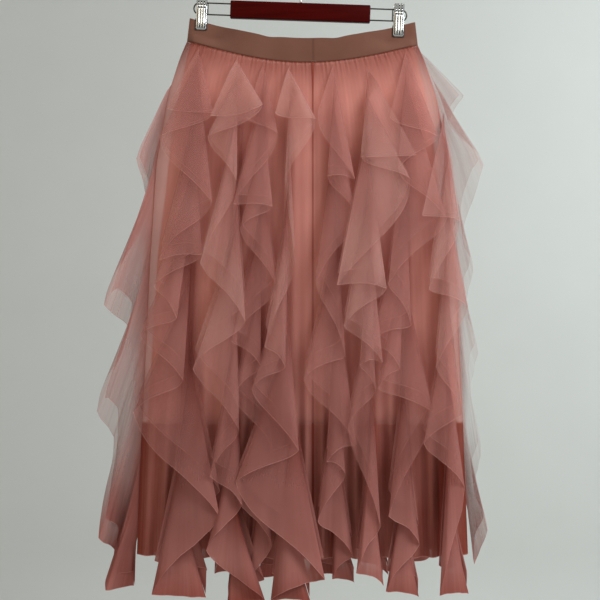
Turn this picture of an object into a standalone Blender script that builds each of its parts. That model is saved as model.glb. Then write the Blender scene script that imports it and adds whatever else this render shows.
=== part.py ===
"""A tulle skirt with waterfall ruffles, hanging from a wooden clip hanger.

The origin is the top of the space inside the hanger's hook, +Z is up and the
skirt's front faces -Y.  Driving sizes are in millimetres and are turned into
metres where a mesh is made.
"""

import math
from typing import NamedTuple

import bmesh
import bpy
from mathutils import Matrix, Vector

MM = 0.001
FRONT = -1
BACK = 1

# ---------------------------------------------------------------- waistband
BAND_TOP_AT_ENDS = -112.0
BAND_HEIGHT = 40.0
BAND_SAG = 33.5
BAND_SLOPE = math.tan(math.radians(1.0))
BAND_HALF_WIDTH = 188.0
BAND_TOP_HALF_WIDTH = 183.5
BAND_WALL = 2.4
BAND_COLUMNS = 48
PINCHED_GAP = 0.15
PINCH_STARTS = 100.0
PINCH_FULL = 148.0
# How far below the top edge each level lies, and how much of the pinch it keeps.
BAND_LEVELS = (
    # down, pinch
    (0.0, 1.0),
    (24.0, 1.0),
    (32.0, 0.0),
    (40.0, 0.0),
)
LOW_EDGE = BAND_TOP_AT_ENDS - BAND_SAG - BAND_HEIGHT

# -------------------------------------------------------------------- cloth
SEAM_GAP = 0.3
LENS_POWER = 2.5
CALM_EDGE = 12
TOP_FOLLOWS_BAND = 220.0


class Section(NamedTuple):
    """One level of a panel, in millimetres below the waistband."""

    drop: float
    half_width: float
    half_depth: float
    gather: float
    fold: float


LINING_WALL = 1.2
LINING_COLUMNS = 26
LINING_SECTIONS = (
    # drop, half_width, half_depth, gather, fold
    Section(-6.0, 182.0, 10.6, 0.0, 0.0),
    Section(12.0, 187.0, 10.6, 0.0, 0.0),
    Section(120.0, 214.0, 12.0, 0.0, 0.6),
    Section(310.0, 238.0, 15.0, 0.0, 1.0),
    Section(590.0, 255.0, 19.0, 0.0, 1.5),
)
LINING_FOLDS = 9
# Each lining panel is two solids, one above the other, that part at this drop, so
# that convex pieces can follow its walls and leave its hollow open.
LINING_PARTING = 290.0

TULLE_WALL = 1.6
TULLE_GATHERS = 48
TULLE_COLUMNS = 96
TULLE_FOLDS = 19
TULLE_SECTIONS = (
    # drop, half_width, half_depth, gather, fold
    Section(SEAM_GAP, 190.5, 14.6, 1.5, 0.0),
    Section(26.0, 202.0, 16.2, 1.9, 0.4),
    Section(80.0, 222.0, 18.2, 1.0, 1.6),
    Section(170.0, 242.0, 20.5, 0.3, 3.0),
    Section(340.0, 253.0, 25.5, 0.0, 4.5),
    Section(570.0, 264.0, 32.0, 0.0, 6.0),
    Section(808.0, 273.0, 36.0, 0.0, 8.0),
)

# ------------------------------------------------------------------ ruffles
RUFFLE_WALL = 1.1
RUFFLE_SEAT = SEAM_GAP + RUFFLE_WALL / 2.0
SIDE_SEAT = 1.5
RUFFLE_STEPS = 3
RUFFLE_SLOPE = 0.17
GATHER_LENGTH = 8.0
LIFT_LENGTH = 32.0
UNDER_LIFT = 5.0
OVER_LIFT = 20.0
TURN_SOFTNESS = 0.4
SHARPEST_MITRE = 0.4


class Fold(NamedTuple):
    """A turning point of a ruffle's free edge, in millimetres.

    across is sideways from the garment's middle, drop is below the waistband
    and root is where the same fold starts on the strip's seam.
    """

    across: float
    drop: float
    root: float


class Strip(NamedTuple):
    """A ruffle strip: its seam, how far it stands off near it, and its folds."""

    name: str
    seam_top: float
    seam_low: float
    lift: float
    folds: tuple


FRONT_STRIPS = (
    Strip("a", -169.0, -197.0, UNDER_LIFT, (
        # across, drop, root
        Fold(-220, 78, 3),
        Fold(-144, 86, 14),
        Fold(-231, 124, 26),
        Fold(-144, 234, 46),
        Fold(-230, 325, 110),
        Fold(-161, 316, 148),
        Fold(-239, 366, 184),
        Fold(-201, 419, 225),
        Fold(-263, 447, 268),
        Fold(-190, 517, 320),
        Fold(-273, 570, 372),
        Fold(-131, 729, 470),
        Fold(-237, 830, 610),
        Fold(-154, 864, 750),
    )),
    Strip("b", -105.0, -111.0, OVER_LIFT, (
        Fold(-148, 94, 3),
        Fold(-64, 75, 18),
        Fold(-152, 128, 40),
        Fold(-105, 198, 66),
        Fold(-162, 330, 112),
        Fold(-90, 424, 206),
        Fold(-173, 498, 300),
        Fold(-100, 595, 390),
        Fold(-146, 667, 470),
        Fold(-95, 712, 540),
        Fold(-152, 785, 630),
        Fold(-59, 864, 720),
        Fold(-119, 866, 790),
    )),
    Strip("c", -63.0, -72.0, UNDER_LIFT, (
        Fold(-92, 94, 3),
        Fold(-40, 120, 15),
        Fold(-111, 236, 60),
        Fold(-48, 240, 96),
        Fold(-100, 274, 130),
        Fold(-41, 368, 190),
        Fold(-113, 455, 262),
        Fold(-67, 494, 320),
        Fold(-110, 543, 372),
        Fold(-48, 626, 450),
        Fold(-100, 711, 530),
        Fold(-48, 778, 620),
        Fold(-90, 854, 710),
    )),
    Strip("d", -21.0, -26.0, OVER_LIFT, (
        Fold(-44, 90, 3),
        Fold(21, 99, 18),
        Fold(-28, 196, 70),
        Fold(-12, 330, 160),
        Fold(-60, 463, 262),
        Fold(-27, 495, 320),
        Fold(-80, 529, 368),
        Fold(-6, 626, 420),
        Fold(-105, 674, 466),
        Fold(35, 824, 540),
        Fold(-50, 846, 650),
        Fold(12, 864, 740),
    )),
    Strip("e", 51.0, 54.0, UNDER_LIFT, (
        Fold(26, 82, 3),
        Fold(84, 196, 16),
        Fold(40, 190, 56),
        Fold(86, 254, 94),
        Fold(21, 360, 140),
        Fold(68, 478, 250),
        Fold(2, 514, 312),
        Fold(85, 617, 372),
        Fold(38, 645, 420),
        Fold(68, 665, 464),
        Fold(24, 739, 520),
        Fold(80, 795, 600),
        Fold(47, 832, 690),
        Fold(83, 842, 760),
    )),
    Strip("f", 105.0, 113.0, OVER_LIFT, (
        Fold(182, 158, 18),
        Fold(93, 160, 52),
        Fold(171, 195, 76),
        Fold(54, 365, 114),
        Fold(133, 371, 166),
        Fold(65, 430, 216),
        Fold(126, 488, 268),
        Fold(90, 492, 310),
        Fold(116, 532, 350),
        Fold(72, 588, 404),
        Fold(122, 744, 500),
        Fold(84, 818, 600),
        Fold(128, 840, 700),
    )),
    Strip("g", 170.0, 164.0, UNDER_LIFT, (
        Fold(141, 94, 3),
        Fold(220, 124, 14),
        Fold(153, 178, 34),
        Fold(231, 259, 60),
        Fold(136, 363, 120),
        Fold(173, 430, 206),
        Fold(110, 455, 250),
        Fold(155, 497, 290),
        Fold(120, 529, 334),
        Fold(208, 568, 380),
        Fold(136, 731, 500),
        Fold(186, 778, 590),
        Fold(130, 833, 680),
        Fold(186, 864, 760),
    )),
    Strip("h", 234.0, 234.0, OVER_LIFT, (
        Fold(190, 255, 95),
        Fold(254, 262, 132),
        Fold(200, 372, 176),
        Fold(266, 400, 236),
        Fold(212, 495, 300),
        Fold(254, 571, 372),
        Fold(191, 616, 430),
        Fold(259, 689, 500),
        Fold(220, 835, 620),
        Fold(266, 860, 730),
    )),
)


class SideFold(NamedTuple):
    """A turning point of a side ruffle's free edge, in millimetres.

    depth is front (-) to back (+), and out is how far it stands off the base.
    """

    depth: float
    out: float
    drop: float
    root: float


LEFT_FOLDS = (
    # depth, out, drop, root
    SideFold(-24, 26, 190, 60),
    SideFold(24, 8, 240, 150),
    SideFold(-30, 65, 399, 190),
    SideFold(28, 32, 434, 300),
    SideFold(-30, 69, 570, 350),
    SideFold(26, 48, 618, 450),
    SideFold(-28, 58, 777, 540),
    SideFold(24, 40, 806, 640),
    SideFold(-18, 48, 864, 700),
    SideFold(20, 6, 866, 775),
)
RIGHT_FOLDS = (
    # depth, out, drop, root
    SideFold(-22, 38, 86, 6),
    SideFold(20, 10, 118, 34),
    SideFold(-26, 49, 195, 58),
    SideFold(20, 15, 290, 130),
    SideFold(-24, 24, 342, 200),
    SideFold(18, 14, 392, 262),
    SideFold(-28, 24, 476, 330),
    SideFold(18, 16, 530, 400),
    SideFold(-24, 22, 645, 470),
    SideFold(20, 15, 696, 550),
    SideFold(-28, 28, 764, 630),
    SideFold(18, 12, 830, 720),
)

# Back strips: where each seam starts and ends across the back, and how long,
# how wide and how far apart their flutes are.
BACK_SEAMS = (
    # top, low
    (-154.0, -194.0),
    (-92.0, -122.0),
    (-33.0, -42.0),
    (27.0, 36.0),
    (92.0, 122.0),
    (154.0, 194.0),
)
BACK_LIFTS = (UNDER_LIFT, OVER_LIFT)
FLUTE_LENGTH = 118.0
FLUTE_GROWTH = 0.14
FLUTE_SWING = 30.0
FLUTE_PITCH = 46.0
PITCH_GROWTH = 0.03
FIRST_ROOT = 3.0
LAST_ROOT = 780.0
LONGEST_DROP = 866.0

# ------------------------------------------------------------------- hanger
HANGER_TILT = math.radians(2.0)
HOOK_WIRE = 3.6
HOOK_INSIDE = 36.0
HOOK_STEM_TOP = -62.0
HOOK_STEM_BEND = 8.0
HOOK_NECK_BEND = 14.0
HOOK_SWEEP = 205.0
BAR_TOP = -85.5
BAR_SIZE = (231.0, 12.0, 29.0)
BAR_BEVEL = 2.2
ROD_WIRE = 2.2
ROD_SPACING = 19.0
ROD_MIDDLE = -100.0
ROD_LOOP_CENTRE = 166.0
CLIP_ACROSS = 162.5
CLIP_WIDTH = 18.0
JAW_FACE = PINCHED_GAP + BAND_WALL + SEAM_GAP
JAW_WALL = 2.6
JAW_TOP = -17.0
PLATE_WALL = 1.3
CLIP_TIP = -36.0
CLIP_TOP = 19.0
CLIP_WEB = 5.5
HANDLE_FLARE = 5.0


# ------------------------------------------------------------------ helpers
def smooth(low, high, value):
    """Return 0 below low and 1 above high, with a soft change between."""
    t = min(1.0, max(0.0, (value - low) / (high - low)))
    return t * t * (3.0 - 2.0 * t)


def mix(a, b, t):
    """Return the value a fraction t of the way from a to b."""
    return a + (b - a) * t


def make_material(name, colour, roughness, metallic=0.0):
    """Return a Principled material with one colour."""
    material = bpy.data.materials.new(name)
    material.use_nodes = True
    shader = material.node_tree.nodes["Principled BSDF"]
    shader.inputs["Base Color"].default_value = (*colour, 1.0)
    shader.inputs["Roughness"].default_value = roughness
    shader.inputs["Metallic"].default_value = metallic
    return material


def add_object(name, mesh_source, material, parent=None, rounded=True):
    """Turn a finished bmesh, in millimetres, into a named object."""
    bmesh.ops.scale(mesh_source, vec=(MM, MM, MM), verts=mesh_source.verts)
    mesh = bpy.data.meshes.new(name)
    mesh_source.to_mesh(mesh)
    mesh_source.free()
    if rounded:
        mesh.shade_smooth()
        mesh.set_sharp_from_angle(angle=math.radians(50.0))
    mesh.materials.append(material)
    item = bpy.data.objects.new(name, mesh)
    bpy.context.collection.objects.link(item)
    item.parent = parent
    return item


def grid_from(columns, rows, place):
    """Return a bmesh grid whose points are set by place(column, row)."""
    mesh = bmesh.new()
    bmesh.ops.create_grid(mesh, x_segments=columns, y_segments=rows, size=0.5)
    for vert in mesh.verts:
        column = round((vert.co.x + 0.5) * columns)
        row = round((vert.co.y + 0.5) * rows)
        vert.co = place(column, row)
    bmesh.ops.triangulate(mesh, faces=list(mesh.faces))
    return mesh


def close_wall(mesh, shift):
    """Give an open grid a wall by extruding all of it along one vector."""
    faces = list(mesh.faces)
    result = bmesh.ops.extrude_face_region(mesh, geom=faces, use_keep_orig=True)
    moved = [item for item in result["geom"] if isinstance(item, bmesh.types.BMVert)]
    bmesh.ops.translate(mesh, vec=shift, verts=moved)
    bmesh.ops.recalc_face_normals(mesh, faces=list(mesh.faces))


def side_normals(points, column, row):
    """Return the unit normals of the sheet on each side of one point."""
    low, high = max(row - 1, 0), min(row + 1, len(points[column]) - 1)
    normals = []
    for left in (column - 1, column):
        if 0 <= left < len(points) - 1:
            rising = points[left + 1][high] - points[left][low]
            falling = points[left][high] - points[left + 1][low]
            normals.append(rising.cross(falling).normalized())
    return normals


def folded_wall(points, wall):
    """Return a closed wall around a folded sheet, half of it on each side.

    points holds a list of columns.  A sharp fold is mitred, up to a limit.
    """
    rows = len(points[0]) - 1
    mesh = grid_from(len(points) - 1, rows, lambda column, row: points[column][row])
    across_wall = mesh.verts.layers.float_vector.new("across_wall")
    mesh.verts.ensure_lookup_table()
    for index, vert in enumerate(mesh.verts):
        row, column = divmod(index, len(points))
        normals = side_normals(points, column, row)
        middle = sum(normals, Vector()).normalized()
        mitre = max(SHARPEST_MITRE, middle.dot(normals[0]))
        vert[across_wall] = middle * (wall / mitre)
        vert.co += vert[across_wall] / 2.0
    result = bmesh.ops.extrude_face_region(mesh, geom=list(mesh.faces), use_keep_orig=True)
    for item in result["geom"]:
        if isinstance(item, bmesh.types.BMVert):
            item.co -= item[across_wall]
    mesh.verts.layers.float_vector.remove(across_wall)
    bmesh.ops.recalc_face_normals(mesh, faces=list(mesh.faces))
    return mesh


# --------------------------------------------------------------- body shape
def band_top(across):
    """Return the height of the waistband's top edge."""
    flank = 1.0 - min(1.0, abs(across) / (BAND_HALF_WIDTH + BAND_WALL))
    sag = BAND_SAG * math.sin(math.pi / 2.0 * flank)
    return BAND_TOP_AT_ENDS - BAND_SLOPE * across - sag


def cloth_height(across, drop):
    """Return the height of a level that is straight low down and follows the
    waistband's curved edge near the top."""
    raised = band_top(across) - BAND_HEIGHT - LOW_EDGE
    follows = 1.0 - smooth(0.0, TOP_FOLLOWS_BAND, drop)
    return LOW_EDGE - drop + raised * follows


def lens(u):
    """Return the flattened tube's depth at u, from 1 in the middle to 0."""
    return math.sqrt(max(0.0, 1.0 - abs(u) ** LENS_POWER))


def section_at(sections, drop):
    """Return the section at any level, worked out between the given ones."""
    drop = min(max(drop, sections[0].drop), sections[-1].drop)
    for upper, lower in zip(sections, sections[1:]):
        if drop <= lower.drop:
            t = (drop - upper.drop) / (lower.drop - upper.drop)
            return Section(*(mix(a, b, t) for a, b in zip(upper, lower)))
    return sections[-1]


def lining_sections():
    """Return the lining's sections above and below its parting, by name."""
    upper = [section for section in LINING_SECTIONS if section.drop < LINING_PARTING]
    lower = [section for section in LINING_SECTIONS if section.drop > LINING_PARTING]
    upper.append(section_at(LINING_SECTIONS, LINING_PARTING - SEAM_GAP / 2.0))
    lower.insert(0, section_at(LINING_SECTIONS, LINING_PARTING + SEAM_GAP / 2.0))
    return (("top", upper), ("low", lower))


def panel_point(section, u, wave_count, gather_count, wall, side):
    """Return a point on the middle of a panel's wall.

    u runs from -1 at the left side seam to 1 at the right one.
    """
    across = section.half_width * u
    gathers = section.gather * math.cos(math.pi * gather_count * (u + 1.0))
    folds = section.fold * math.sin(math.pi * wave_count * u + 1.3 * math.sin(5.0 * u))
    at_seam = 1.0 - abs(u) ** CALM_EDGE
    out = section.half_depth * lens(u) + (gathers + folds) * at_seam
    out = max(out, 0.0) + (SEAM_GAP + wall) / 2.0
    return Vector((across, side * out, cloth_height(across, section.drop)))


def cloth_face(across, height):
    """Return how far the outside of the base reaches at one place."""
    drop = LOW_EDGE - height
    for _ in range(3):
        drop += cloth_height(across, drop) - height
    section = section_at(TULLE_SECTIONS, drop)
    u = min(1.0, abs(across) / section.half_width)
    crest = (section.gather + section.fold) * (1.0 - u ** CALM_EDGE)
    return section.half_depth * lens(u) + crest + SEAM_GAP / 2.0 + TULLE_WALL


# ------------------------------------------------------------------- pieces
def build_band(material):
    """Model the elastic waistband as one flattened ring."""
    lining = LINING_SECTIONS[0]

    def loop_point(column, level, outer):
        down, pinch_share = BAND_LEVELS[level]
        turn = 2.0 * column / BAND_COLUMNS
        side = FRONT if turn <= 2.0 else BACK
        u = turn - 1.0 if turn <= 2.0 else 3.0 - turn
        half_width = mix(BAND_TOP_HALF_WIDTH, BAND_HALF_WIDTH, down / BAND_HEIGHT)
        at_end = abs(u) > 1.0 - 1e-6
        across = u * (half_width + (BAND_WALL if outer and at_end else 0.0))
        open_gap = lining.half_depth * lens(0.985 * u) + LINING_WALL + SEAM_GAP
        pinch = pinch_share * smooth(PINCH_STARTS, PINCH_FULL, abs(across))
        inside = 0.0 if at_end else mix(open_gap, PINCHED_GAP, pinch)
        out = inside + (BAND_WALL if outer and not at_end else 0.0)
        return Vector((across, side * out, band_top(across) - down))

    mesh = bmesh.new()
    around = 2 * BAND_COLUMNS
    shells = []
    for outer in (True, False):
        rings = []
        for level in range(len(BAND_LEVELS)):
            ring = [mesh.verts.new(loop_point(c, level, outer)) for c in range(around)]
            rings.append(ring)
        shells.append(rings)
    outer_rings, inner_rings = shells
    loops = outer_rings + inner_rings[::-1]
    edges = []
    for ring in loops:
        closed = [mesh.edges.new((a, b)) for a, b in zip(ring, ring[1:] + ring[:1])]
        edges.append(closed)
    for upper, lower in zip(edges, edges[1:] + edges[:1]):
        bmesh.ops.bridge_loops(mesh, edges=upper + lower)
    bmesh.ops.recalc_face_normals(mesh, faces=list(mesh.faces))
    return add_object("waistband", mesh, material)


def build_panel(name, sections, columns, waves, gathers, wall, side, material):
    """Model a front or back panel as a closed wall from its sections."""
    def place(column, row):
        u = 2.0 * column / columns - 1.0
        return panel_point(sections[row], u, waves, gathers, wall, side)

    mesh = grid_from(columns, len(sections) - 1, place)
    bmesh.ops.translate(mesh, vec=(0.0, side * wall / 2.0, 0.0), verts=mesh.verts)
    close_wall(mesh, (0.0, -side * wall, 0.0))
    return add_object(name, mesh, material)


def turned(part):
    """Return how far a free edge has swung, part of the way between folds."""
    return part - TURN_SOFTNESS * math.sin(2.0 * math.pi * part) / (2.0 * math.pi)


def strip_point(strip, position, row, side):
    """Return a point of a front or back ruffle.

    position counts folds down the strip, and row 0 lies on the seam, row 1 a
    short way off it and row 2 on the free edge.
    """
    index = min(int(position), len(strip.folds) - 2)
    part = position - index
    aims = []
    for fold in strip.folds[index:index + 2]:
        seam = mix(strip.seam_top, strip.seam_low, fold.root / LAST_ROOT)
        sideways = fold.across - seam
        down = cloth_height(seam, fold.root) - (LOW_EDGE - fold.drop)
        aims.append((math.atan2(sideways, down), math.hypot(sideways, down), fold.root))
    (angle_a, reach_a, root_a), (angle_b, reach_b, root_b) = aims
    angle = mix(angle_a, angle_b, turned(part))
    reach = (GATHER_LENGTH, LIFT_LENGTH, mix(reach_a, reach_b, part))[row]
    root = mix(root_a, root_b, part)
    seam = mix(strip.seam_top, strip.seam_low, root / LAST_ROOT)
    across = seam + reach * math.sin(angle)
    height = cloth_height(seam, root) - reach * math.cos(angle)
    free = reach - GATHER_LENGTH
    lift = strip.lift * min(1.0, free / (LIFT_LENGTH - GATHER_LENGTH))
    out = cloth_face(across, height) + RUFFLE_SEAT + lift + RUFFLE_SLOPE * free
    return Vector((across, side * out, height))


def build_strip(name, strip, side, material):
    """Model a ruffle strip of the front or back."""
    columns = (len(strip.folds) - 1) * RUFFLE_STEPS
    points = [[strip_point(strip, column / RUFFLE_STEPS, row, side) for row in range(3)]
              for column in range(columns + 1)]
    return add_object(name, folded_wall(points, RUFFLE_WALL), material)


def side_point(folds, position, row, side):
    """Return a point of a ruffle that is sewn down a side seam."""
    index = min(int(position), len(folds) - 2)
    upper, lower = folds[index], folds[index + 1]
    part = position - index
    root = mix(upper.root, lower.root, part)
    whole = mix(upper.drop - upper.root, lower.drop - lower.root, part)
    reach = (GATHER_LENGTH, LIFT_LENGTH, whole)[row]
    swing = turned(part)
    depth = reach / whole * mix(upper.depth, lower.depth, swing)
    free = (reach - GATHER_LENGTH) / (whole - GATHER_LENGTH)
    out = SIDE_SEAT + free * mix(upper.out, lower.out, swing)
    start = section_at(TULLE_SECTIONS, root).half_width
    edge = section_at(TULLE_SECTIONS, root + reach).half_width
    height = cloth_height(side * start, root) - reach
    return Vector((side * (edge + out), depth, height))


def build_side_strip(name, folds, side, material):
    """Model the ruffle strip of one side seam."""
    columns = (len(folds) - 1) * RUFFLE_STEPS
    points = [[side_point(folds, column / RUFFLE_STEPS, row, side) for row in range(3)]
              for column in range(columns + 1)]
    return add_object(name, folded_wall(points, RUFFLE_WALL), material)


def back_strip(index):
    """Return a back strip, its folds as uneven as hand-sewn flutes are."""
    seam_top, seam_low = BACK_SEAMS[index]
    folds = []
    root = FIRST_ROOT
    way = 1 if index % 2 else -1
    while root < LAST_ROOT:
        count = len(folds)
        reach = FLUTE_LENGTH + FLUTE_GROWTH * root + 24.0 * math.sin(2.1 * count + index)
        swing = way * (FLUTE_SWING + 8.0 * math.sin(1.3 * count + 2.0 * index))
        seam = mix(seam_top, seam_low, root / LAST_ROOT)
        drop = min(root + reach, LONGEST_DROP - 6.0 * (count % 2))
        folds.append(Fold(seam + swing, drop, root))
        root += FLUTE_PITCH + PITCH_GROWTH * root + 12.0 * math.sin(1.7 * count + index)
        way = -way
    lift = BACK_LIFTS[index % len(BACK_LIFTS)]
    return Strip(str(index + 1), seam_top, seam_low, lift, tuple(folds))


# ------------------------------------------------------------------- hanger
def wire_object(name, points, diameter, material, parent):
    """Model bent wire as a curve with a round section and closed ends."""
    curve = bpy.data.curves.new(name, "CURVE")
    curve.dimensions = "3D"
    curve.bevel_depth = diameter / 2.0 * MM
    curve.bevel_resolution = 2
    curve.use_fill_caps = True
    spline = curve.splines.new("POLY")
    spline.points.add(len(points) - 1)
    for target, point in zip(spline.points, points):
        target.co = (point[0] * MM, point[1] * MM, point[2] * MM, 1.0)
    curve.materials.append(material)
    item = bpy.data.objects.new(name, curve)
    bpy.context.collection.objects.link(item)
    item.parent = parent
    return item


def arc(centre_x, centre_z, radius, start, end, count):
    """Return points along an arc in the hanger's plane, angles in degrees."""
    points = []
    for step in range(count + 1):
        angle = math.radians(mix(start, end, step / count))
        points.append((centre_x + radius * math.cos(angle), 0.0,
                       centre_z + radius * math.sin(angle)))
    return points


def build_hook(material, parent):
    """Model the hook: a stem that sweeps into an open round."""
    radius = (HOOK_INSIDE + HOOK_WIRE) / 2.0
    centre = -HOOK_INSIDE / 2.0
    start = (0.0, BAR_TOP + SEAM_GAP)
    bend = Vector((0.0, HOOK_STEM_TOP + HOOK_STEM_BEND))
    first = Vector((0.0, HOOK_STEM_TOP))
    last = Vector((radius, centre))
    pull = Vector((radius, centre - HOOK_NECK_BEND))
    stem = [(start[0], 0.0, start[1])]
    for step in range(9):
        t = step / 9.0
        point = ((1 - t) ** 3 * first + 3 * (1 - t) ** 2 * t * bend
                 + 3 * (1 - t) * t * t * pull + t ** 3 * last)
        stem.append((point.x, 0.0, point.y))
    round_part = arc(0.0, centre, radius, 0.0, HOOK_SWEEP, 18)
    return wire_object("hanger_hook", stem + round_part, HOOK_WIRE, material, parent)


def build_bar(material, parent):
    """Model the wooden bar with eased edges."""
    mesh = bmesh.new()
    bmesh.ops.create_cube(mesh, size=1.0)
    bmesh.ops.scale(mesh, vec=BAR_SIZE, verts=mesh.verts)
    bmesh.ops.bevel(mesh, geom=list(mesh.edges), offset=BAR_BEVEL, segments=2,
                    profile=0.5, affect="EDGES", material=-1)
    middle = BAR_TOP - BAR_SIZE[2] / 2.0
    bmesh.ops.translate(mesh, vec=(0.0, 0.0, middle), verts=mesh.verts)
    return add_object("hanger_bar", mesh, material, parent)


def build_rods(name, way, material, parent):
    """Model the wire loop that runs out of one end of the bar and back."""
    start = BAR_SIZE[0] / 2.0 + SEAM_GAP
    radius = ROD_SPACING / 2.0
    loop = arc(0.0, 0.0, radius, 90.0, -90.0, 12)
    points = [(way * start, 0.0, ROD_MIDDLE + radius)]
    for x, y, z in loop:
        points.append((way * (ROD_LOOP_CENTRE + x), y, ROD_MIDDLE + z))
    points.append((way * start, 0.0, ROD_MIDDLE - radius))
    return wire_object(name, points, ROD_WIRE, material, parent)


def build_clip(name, way, material, parent):
    """Model a clip: two sprung plates joined by a web between the rods.

    Each plate ends in a thicker jaw, padded with rubber, on the waistband.
    """
    far = JAW_FACE + JAW_WALL
    near = far - PLATE_WALL
    front = (
        # out, up
        (near, JAW_TOP),
        (JAW_FACE, JAW_TOP),
        (JAW_FACE, CLIP_TIP),
        (far, CLIP_TIP),
        (far + 0.8, CLIP_TIP + 10.0),
        (far, -CLIP_WEB),
        (far, CLIP_WEB),
        (far + HANDLE_FLARE, CLIP_TOP),
        (near + HANDLE_FLARE, CLIP_TOP),
        (near, CLIP_WEB),
    )
    back = [(-out, up) for out, up in front[::-1]]
    outline = [(near, -CLIP_WEB)] + list(front) + back + [(-near, -CLIP_WEB)]
    mesh = bmesh.new()
    corners = [mesh.verts.new((-CLIP_WIDTH / 2.0, out, up)) for out, up in outline]
    face = mesh.faces.new(corners)
    result = bmesh.ops.extrude_face_region(mesh, geom=[face], use_keep_orig=True)
    moved = [item for item in result["geom"] if isinstance(item, bmesh.types.BMVert)]
    bmesh.ops.translate(mesh, vec=(CLIP_WIDTH, 0.0, 0.0), verts=moved)
    bmesh.ops.triangulate(mesh, faces=list(mesh.faces))
    bmesh.ops.recalc_face_normals(mesh, faces=list(mesh.faces))
    place = (way * CLIP_ACROSS, 0.0, ROD_MIDDLE)
    bmesh.ops.translate(mesh, vec=place, verts=mesh.verts)
    return add_object(name, mesh, material, parent, rounded=False)


def build_hanger():
    """Model the hanger, which hangs a little lower on the right."""
    steel = make_material("dark_steel", (0.10, 0.095, 0.09), 0.35, 1.0)
    chrome = make_material("clip_chrome", (0.62, 0.62, 0.60), 0.18, 1.0)
    wood = make_material("dark_red_wood", (0.045, 0.004, 0.003), 0.28)
    pivot = bpy.data.objects.new("hanger_pivot", None)
    bpy.context.collection.objects.link(pivot)
    pivot.matrix_world = Matrix.Rotation(HANGER_TILT, 4, "Y")
    build_hook(steel, pivot)
    build_bar(wood, pivot)
    for label, way in (("left", -1), ("right", 1)):
        build_rods(f"hanger_wire_{label}", way, steel, pivot)
        build_clip(f"clip_{label}", way, chrome, pivot)


def build_skirt():
    """Model the waistband, lining, tulle base and ruffles."""
    elastic = make_material("brown_mauve_elastic", (0.19, 0.085, 0.06), 0.7)
    satin = make_material("salmon_lining", (0.62, 0.25, 0.19), 0.45)
    net = make_material("dusty_pink_tulle", (0.48, 0.18, 0.14), 0.8)
    build_band(elastic)
    for face, side in (("front", FRONT), ("back", BACK)):
        for part, sections in lining_sections():
            build_panel(f"lining_{face}_{part}", sections, LINING_COLUMNS, LINING_FOLDS,
                        0, LINING_WALL, side, satin)
        build_panel(f"tulle_{face}", TULLE_SECTIONS, TULLE_COLUMNS, TULLE_FOLDS,
                    TULLE_GATHERS, TULLE_WALL, side, net)
    for strip in FRONT_STRIPS:
        build_strip(f"ruffle_front_{strip.name}", strip, FRONT, net)
    for index in range(len(BACK_SEAMS)):
        strip = back_strip(index)
        build_strip(f"ruffle_back_{strip.name}", strip, BACK, net)
    build_side_strip("ruffle_side_left", LEFT_FOLDS, -1, net)
    build_side_strip("ruffle_side_right", RIGHT_FOLDS, 1, net)


def main():
    """Clear the scene and model the skirt on its hanger."""
    for item in list(bpy.data.objects):
        bpy.data.objects.remove(item)
    build_hanger()
    build_skirt()


main()
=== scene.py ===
"""Looks for a tulle skirt with waterfall ruffles that hangs from a wooden clip hanger.

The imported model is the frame.  The origin is the top of the space inside the
hanger's hook, +Z is up and the skirt's front faces -Y.  Driving sizes are in
millimetres and are turned into metres where a mesh is made.
"""

import logging
import math
from abc import ABC, abstractmethod
from dataclasses import dataclass, field
from enum import Enum
from functools import cached_property, partial
from typing import Callable, NamedTuple, Optional, Sequence

import bmesh
import bpy
from mathutils import Matrix, Vector, noise

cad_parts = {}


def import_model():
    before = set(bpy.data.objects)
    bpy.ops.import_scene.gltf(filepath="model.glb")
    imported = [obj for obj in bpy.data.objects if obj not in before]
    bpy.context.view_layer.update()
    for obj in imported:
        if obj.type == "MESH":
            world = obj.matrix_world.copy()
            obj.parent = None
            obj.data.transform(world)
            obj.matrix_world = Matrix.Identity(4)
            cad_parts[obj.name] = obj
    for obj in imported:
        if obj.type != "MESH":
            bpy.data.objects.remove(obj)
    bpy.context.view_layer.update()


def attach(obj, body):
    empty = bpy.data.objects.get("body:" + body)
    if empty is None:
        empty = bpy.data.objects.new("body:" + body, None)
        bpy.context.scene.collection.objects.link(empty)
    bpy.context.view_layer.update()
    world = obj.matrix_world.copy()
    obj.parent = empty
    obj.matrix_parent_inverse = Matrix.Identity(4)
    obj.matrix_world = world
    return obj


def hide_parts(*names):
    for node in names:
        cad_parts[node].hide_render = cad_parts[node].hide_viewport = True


LOG = logging.getLogger("tulle_skirt")
MM = 0.001
ROOT = "root"
BANDS_PER_UNIT = 3.18  # how many bands a Wave Texture of scale 1 draws in one unit
SHARP_ANGLE = math.radians(48.0)


# ------------------------------------------------------------------- helpers
def smooth(low: float, high: float, value: float) -> float:
    """Return 0 below low and 1 above high, with a soft change between."""
    t = min(1.0, max(0.0, (value - low) / (high - low)))
    return t * t * (3.0 - 2.0 * t)


def mix(a: float, b: float, t: float) -> float:
    """Return the value a fraction t of the way from a to b."""
    return a + (b - a) * t


def wander(*place: float) -> float:
    """Return smooth unseeded noise, about -1 to 1, at a place."""
    padded = list(place) + [0.0] * (3 - len(place))
    return noise.noise(Vector(padded))


class Side(Enum):
    """Which way a panel faces along Y."""

    FRONT = -1
    BACK = 1


class Flank(Enum):
    """A side seam or an end of the hanger, by its direction along X."""

    LEFT = -1
    RIGHT = 1


class Stand(Enum):
    """How a ruffle strip hangs beside its neighbours, by its lift in millimetres."""

    UNDER = 5.0
    OVER = 20.0


# ---------------------------------------------------------------- skirt form
class Section(NamedTuple):
    """One level of a panel, in millimetres below the waistband."""

    drop: float
    half_width: float
    half_depth: float
    gather: float
    fold: float


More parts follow.
